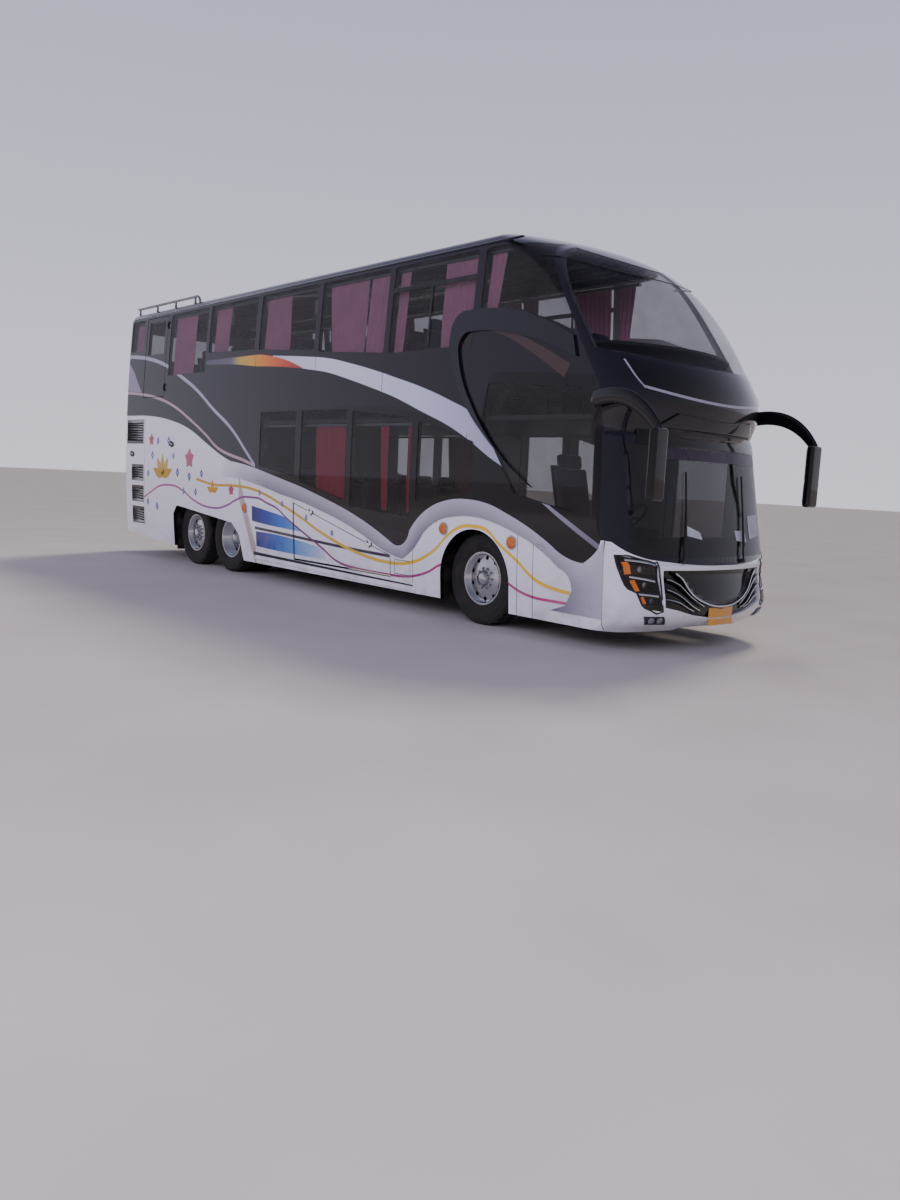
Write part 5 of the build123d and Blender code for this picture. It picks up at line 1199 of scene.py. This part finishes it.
DIAMONDS = []
for row in range(6):
    for step in range(13):
        spot = (-4.95 + 0.40 * step + 0.20 * (row % 2) + 0.03 * math.sin(5 * step + row),
                0.92 + 0.27 * row + 0.03 * math.cos(3 * step + 2 * row))
        arch_top = 1.10 if -4.0 < spot[0] < -1.5 else 0.7
        clear = all(math.dist(spot, s[0]) > s[1] + 0.10 for s in SPRAYS + ROSETTES)
        if arch_top < spot[1] < height_on(WHITE_TOP, spot[0]) - 0.30 and spot[0] < -1.75 and clear:
            DIAMONDS.append((spot, 0.074 + 0.012 * math.sin(7 * step + 3 * row)))
for x in WAVE_DIAMONDS_X:
    DIAMONDS.append(((x, (height_on(YELLOW_RIBBON, x) + height_on(WHITE_TOP, x)) / 2 - 0.13), 0.05))

# The two foremost diamonds on the right lie on the luggage flap and open with it
ON_FLAP = [spot for spot in DIAMONDS if spot[0][0] > 0]
OFF_FLAP = [spot for spot in DIAMONDS if spot[0][0] <= 0]
for name, side, body, spots in (("right", "right", COACH, OFF_FLAP), ("flap", "right", "luggage_flap", ON_FLAP),
                                ("left", "left", COACH, DIAMONDS)):
    vinyl(f"diamonds_{name}", side, DIAMOND_BLUE, [diamond(*spot) for spot in spots], body=body)
    vinyl(f"diamond_centres_{name}", side, DIAMOND_PALE, [diamond(spot, size * 0.38) for spot, size in spots],
          0.0009, body)

for side, _ in SIDES:
    vinyl(f"leaf_sprays_{side}", side, LEAF_GOLD,
          [petal(foot, length, width, math.radians(20 + 140 * k / (count - 1)))
           for foot, length, width, count in SPRAYS for k in range(count)])
    vinyl(f"petal_rosettes_{side}", side, PETAL_ROSE,
          [petal(foot, length, width, math.radians(90 + 72 * k))
           for foot, length, width, count in ROSETTES for k in range(count)])
    laid(f"hoop_infill_{side}", side, GLOSS, [one(slab, HOOP_INFILL, 0.001)], FILM_ON_SKIN)

# Rear: slats on the engine lid, handle, plate
laid("engine_lid_slats", "rear", TRIM,
     [one(strip, whole([(-0.62, z), (0, z)]), 0.03, 0.006, 0.002) for z in (1.35 + 0.055 * k for k in range(9))],
     body="engine_lid")
laid("engine_lid_handle", "rear", HANDLE, [one(strip, whole([(-0.09, 0.8), (0, 0.8)]), 0.03, 0.014, 0.005)],
     body="engine_lid")
hung_plate("number_plate_rear", "rear", (0, 0.54))

# Upper deck: ledge behind the screen, its front edge an arc
LEDGE_Z = 2.985
LEDGE_THICK = 0.035
LEDGE_REAR_X = 4.80
LEDGE_CORNER = (4.93, 1.183)
LEDGE_ARC_X = 3.48
LEDGE_ARC_RADIUS = 1.90
corner_x, corner_y = LEDGE_CORNER
ledge = [(corner_x, -corner_y)]
for k in range(20):
    y = -0.95 + 0.1 * k
    ledge.append((LEDGE_ARC_X + math.sqrt(LEDGE_ARC_RADIUS ** 2 - y ** 2), y))
ledge += [(corner_x, corner_y), (LEDGE_REAR_X, corner_y), (LEDGE_REAR_X, -corner_y)]
bm = bmesh.new()
bm.faces.new([bm.verts.new((x, y, LEDGE_Z)) for x, y in ledge])
raised(bm, (0, 0, LEDGE_THICK))
rim = [e for e in bm.edges if e.calc_face_angle(0) > 0.8]
bmesh.ops.bevel(bm, geom=rim, offset=0.008, segments=3, profile=0.5, affect="EDGES", material=-1)
piece(bm, "upper_front_ledge", TRIM, 40)

# Stage: pale floor
FLOOR_HALF = 150
bm = bmesh.new()
bmesh.ops.create_grid(bm, x_segments=4, y_segments=4, size=FLOOR_HALF)
mesh = bpy.data.meshes.new("studio_floor")
bm.to_mesh(mesh)
bm.free()
ground = linked("studio_floor", mesh)
look, tree, shader, place = finish("pale_floor", Roughness=0.8)
coloured(tree, shader,
         mixed(tree, spread(tree, grain(tree, place, 1500, 4.0), 0.3, 0.7), tint("b9b2ae"), tint("c1bbb7")))
mesh.materials.append(look)

# World: paler at the horizon, and brighter on the side that the camera looks towards
world = bpy.data.worlds.new("soft_room")
bpy.context.scene.world = world
world.use_nodes = True
sky = world.node_tree
background = sky.nodes["Background"]
toward = add(sky, "TexCoord").outputs["Generated"]
height = add(sky, "SeparateXYZ", {0: toward}).outputs[2]
backdrop = add(sky, "VectorMath", {0: toward, 1: (-0.75, 0.66, 0)}, operation="DOT_PRODUCT").outputs["Value"]
sky_colour = mixed(sky, spread(sky, height, -0.05, 0.75), tint("ece9fa"), tint("9a9cba"))
sky.links.new(sky_colour, background.inputs[0])
sky.links.new(spread(sky, backdrop, -0.5, 0.8, 0.45, 1.1), background.inputs[1])


def light(name, kind, place, aim, watts, colour):
    """Light turned to what it aims at. Glossy faces don't mirror it."""
    data = bpy.data.lights.new(name, kind)
    data.energy = watts
    data.color = tint(colour)[:3]
    made = linked(name, data)
    made.visible_glossy = False
    made.location = place
    made.rotation_mode = "QUATERNION"
    made.rotation_quaternion = (Vector(aim) - Vector(place)).to_track_quat("-Z", "Y")
    return data


light("key_sun", "SUN", (-6, 13, 16), (0, 0, 0), 2.4, "fff2e4").angle = math.radians(14)
for name, place, aim, size, watts, colour in (
        ("front_fill", (14, -13, 8), (0, 0, 2), (12, 8), 1500, "e6e2ff"),
        ("side_fill", (-4, -17, 7), (-1, 0, 2), (14, 6), 1100, "eae4ff")):
    fill = light(name, "AREA", place, aim, watts, colour)
    fill.shape = "RECTANGLE"
    fill.size, fill.size_y = size

# Camera at the photograph's place: heading, tilt down and roll in degrees
CAMERA_PLACE = (11.29526587, -8.44550012, 1.60041448)
CAMERA_TURNS = (138.48939646, 7.15653744, 2.88039592)
CAMERA_LENS = 28.824
CAMERA_SENSOR = 36
yaw, pitch, roll = (math.radians(v) for v in CAMERA_TURNS)
ahead = Vector((math.cos(yaw) * math.cos(pitch), math.sin(yaw) * math.cos(pitch), -math.sin(pitch)))
right = Vector((math.sin(yaw), -math.cos(yaw), 0))
up = right.cross(ahead)
turned_right = math.cos(roll) * right + math.sin(roll) * up
turned_up = math.cos(roll) * up - math.sin(roll) * right
data = bpy.data.cameras.new("photo_camera")
data.sensor_width = CAMERA_SENSOR
data.lens = CAMERA_LENS
data.clip_end = 500
camera = linked("photo_camera", data)
turn = Matrix((turned_right, turned_up, -ahead)).transposed()
camera.matrix_world = Matrix.Translation(CAMERA_PLACE) @ turn.to_4x4()
bpy.context.scene.camera = camera

bpy.context.view_layer.update()
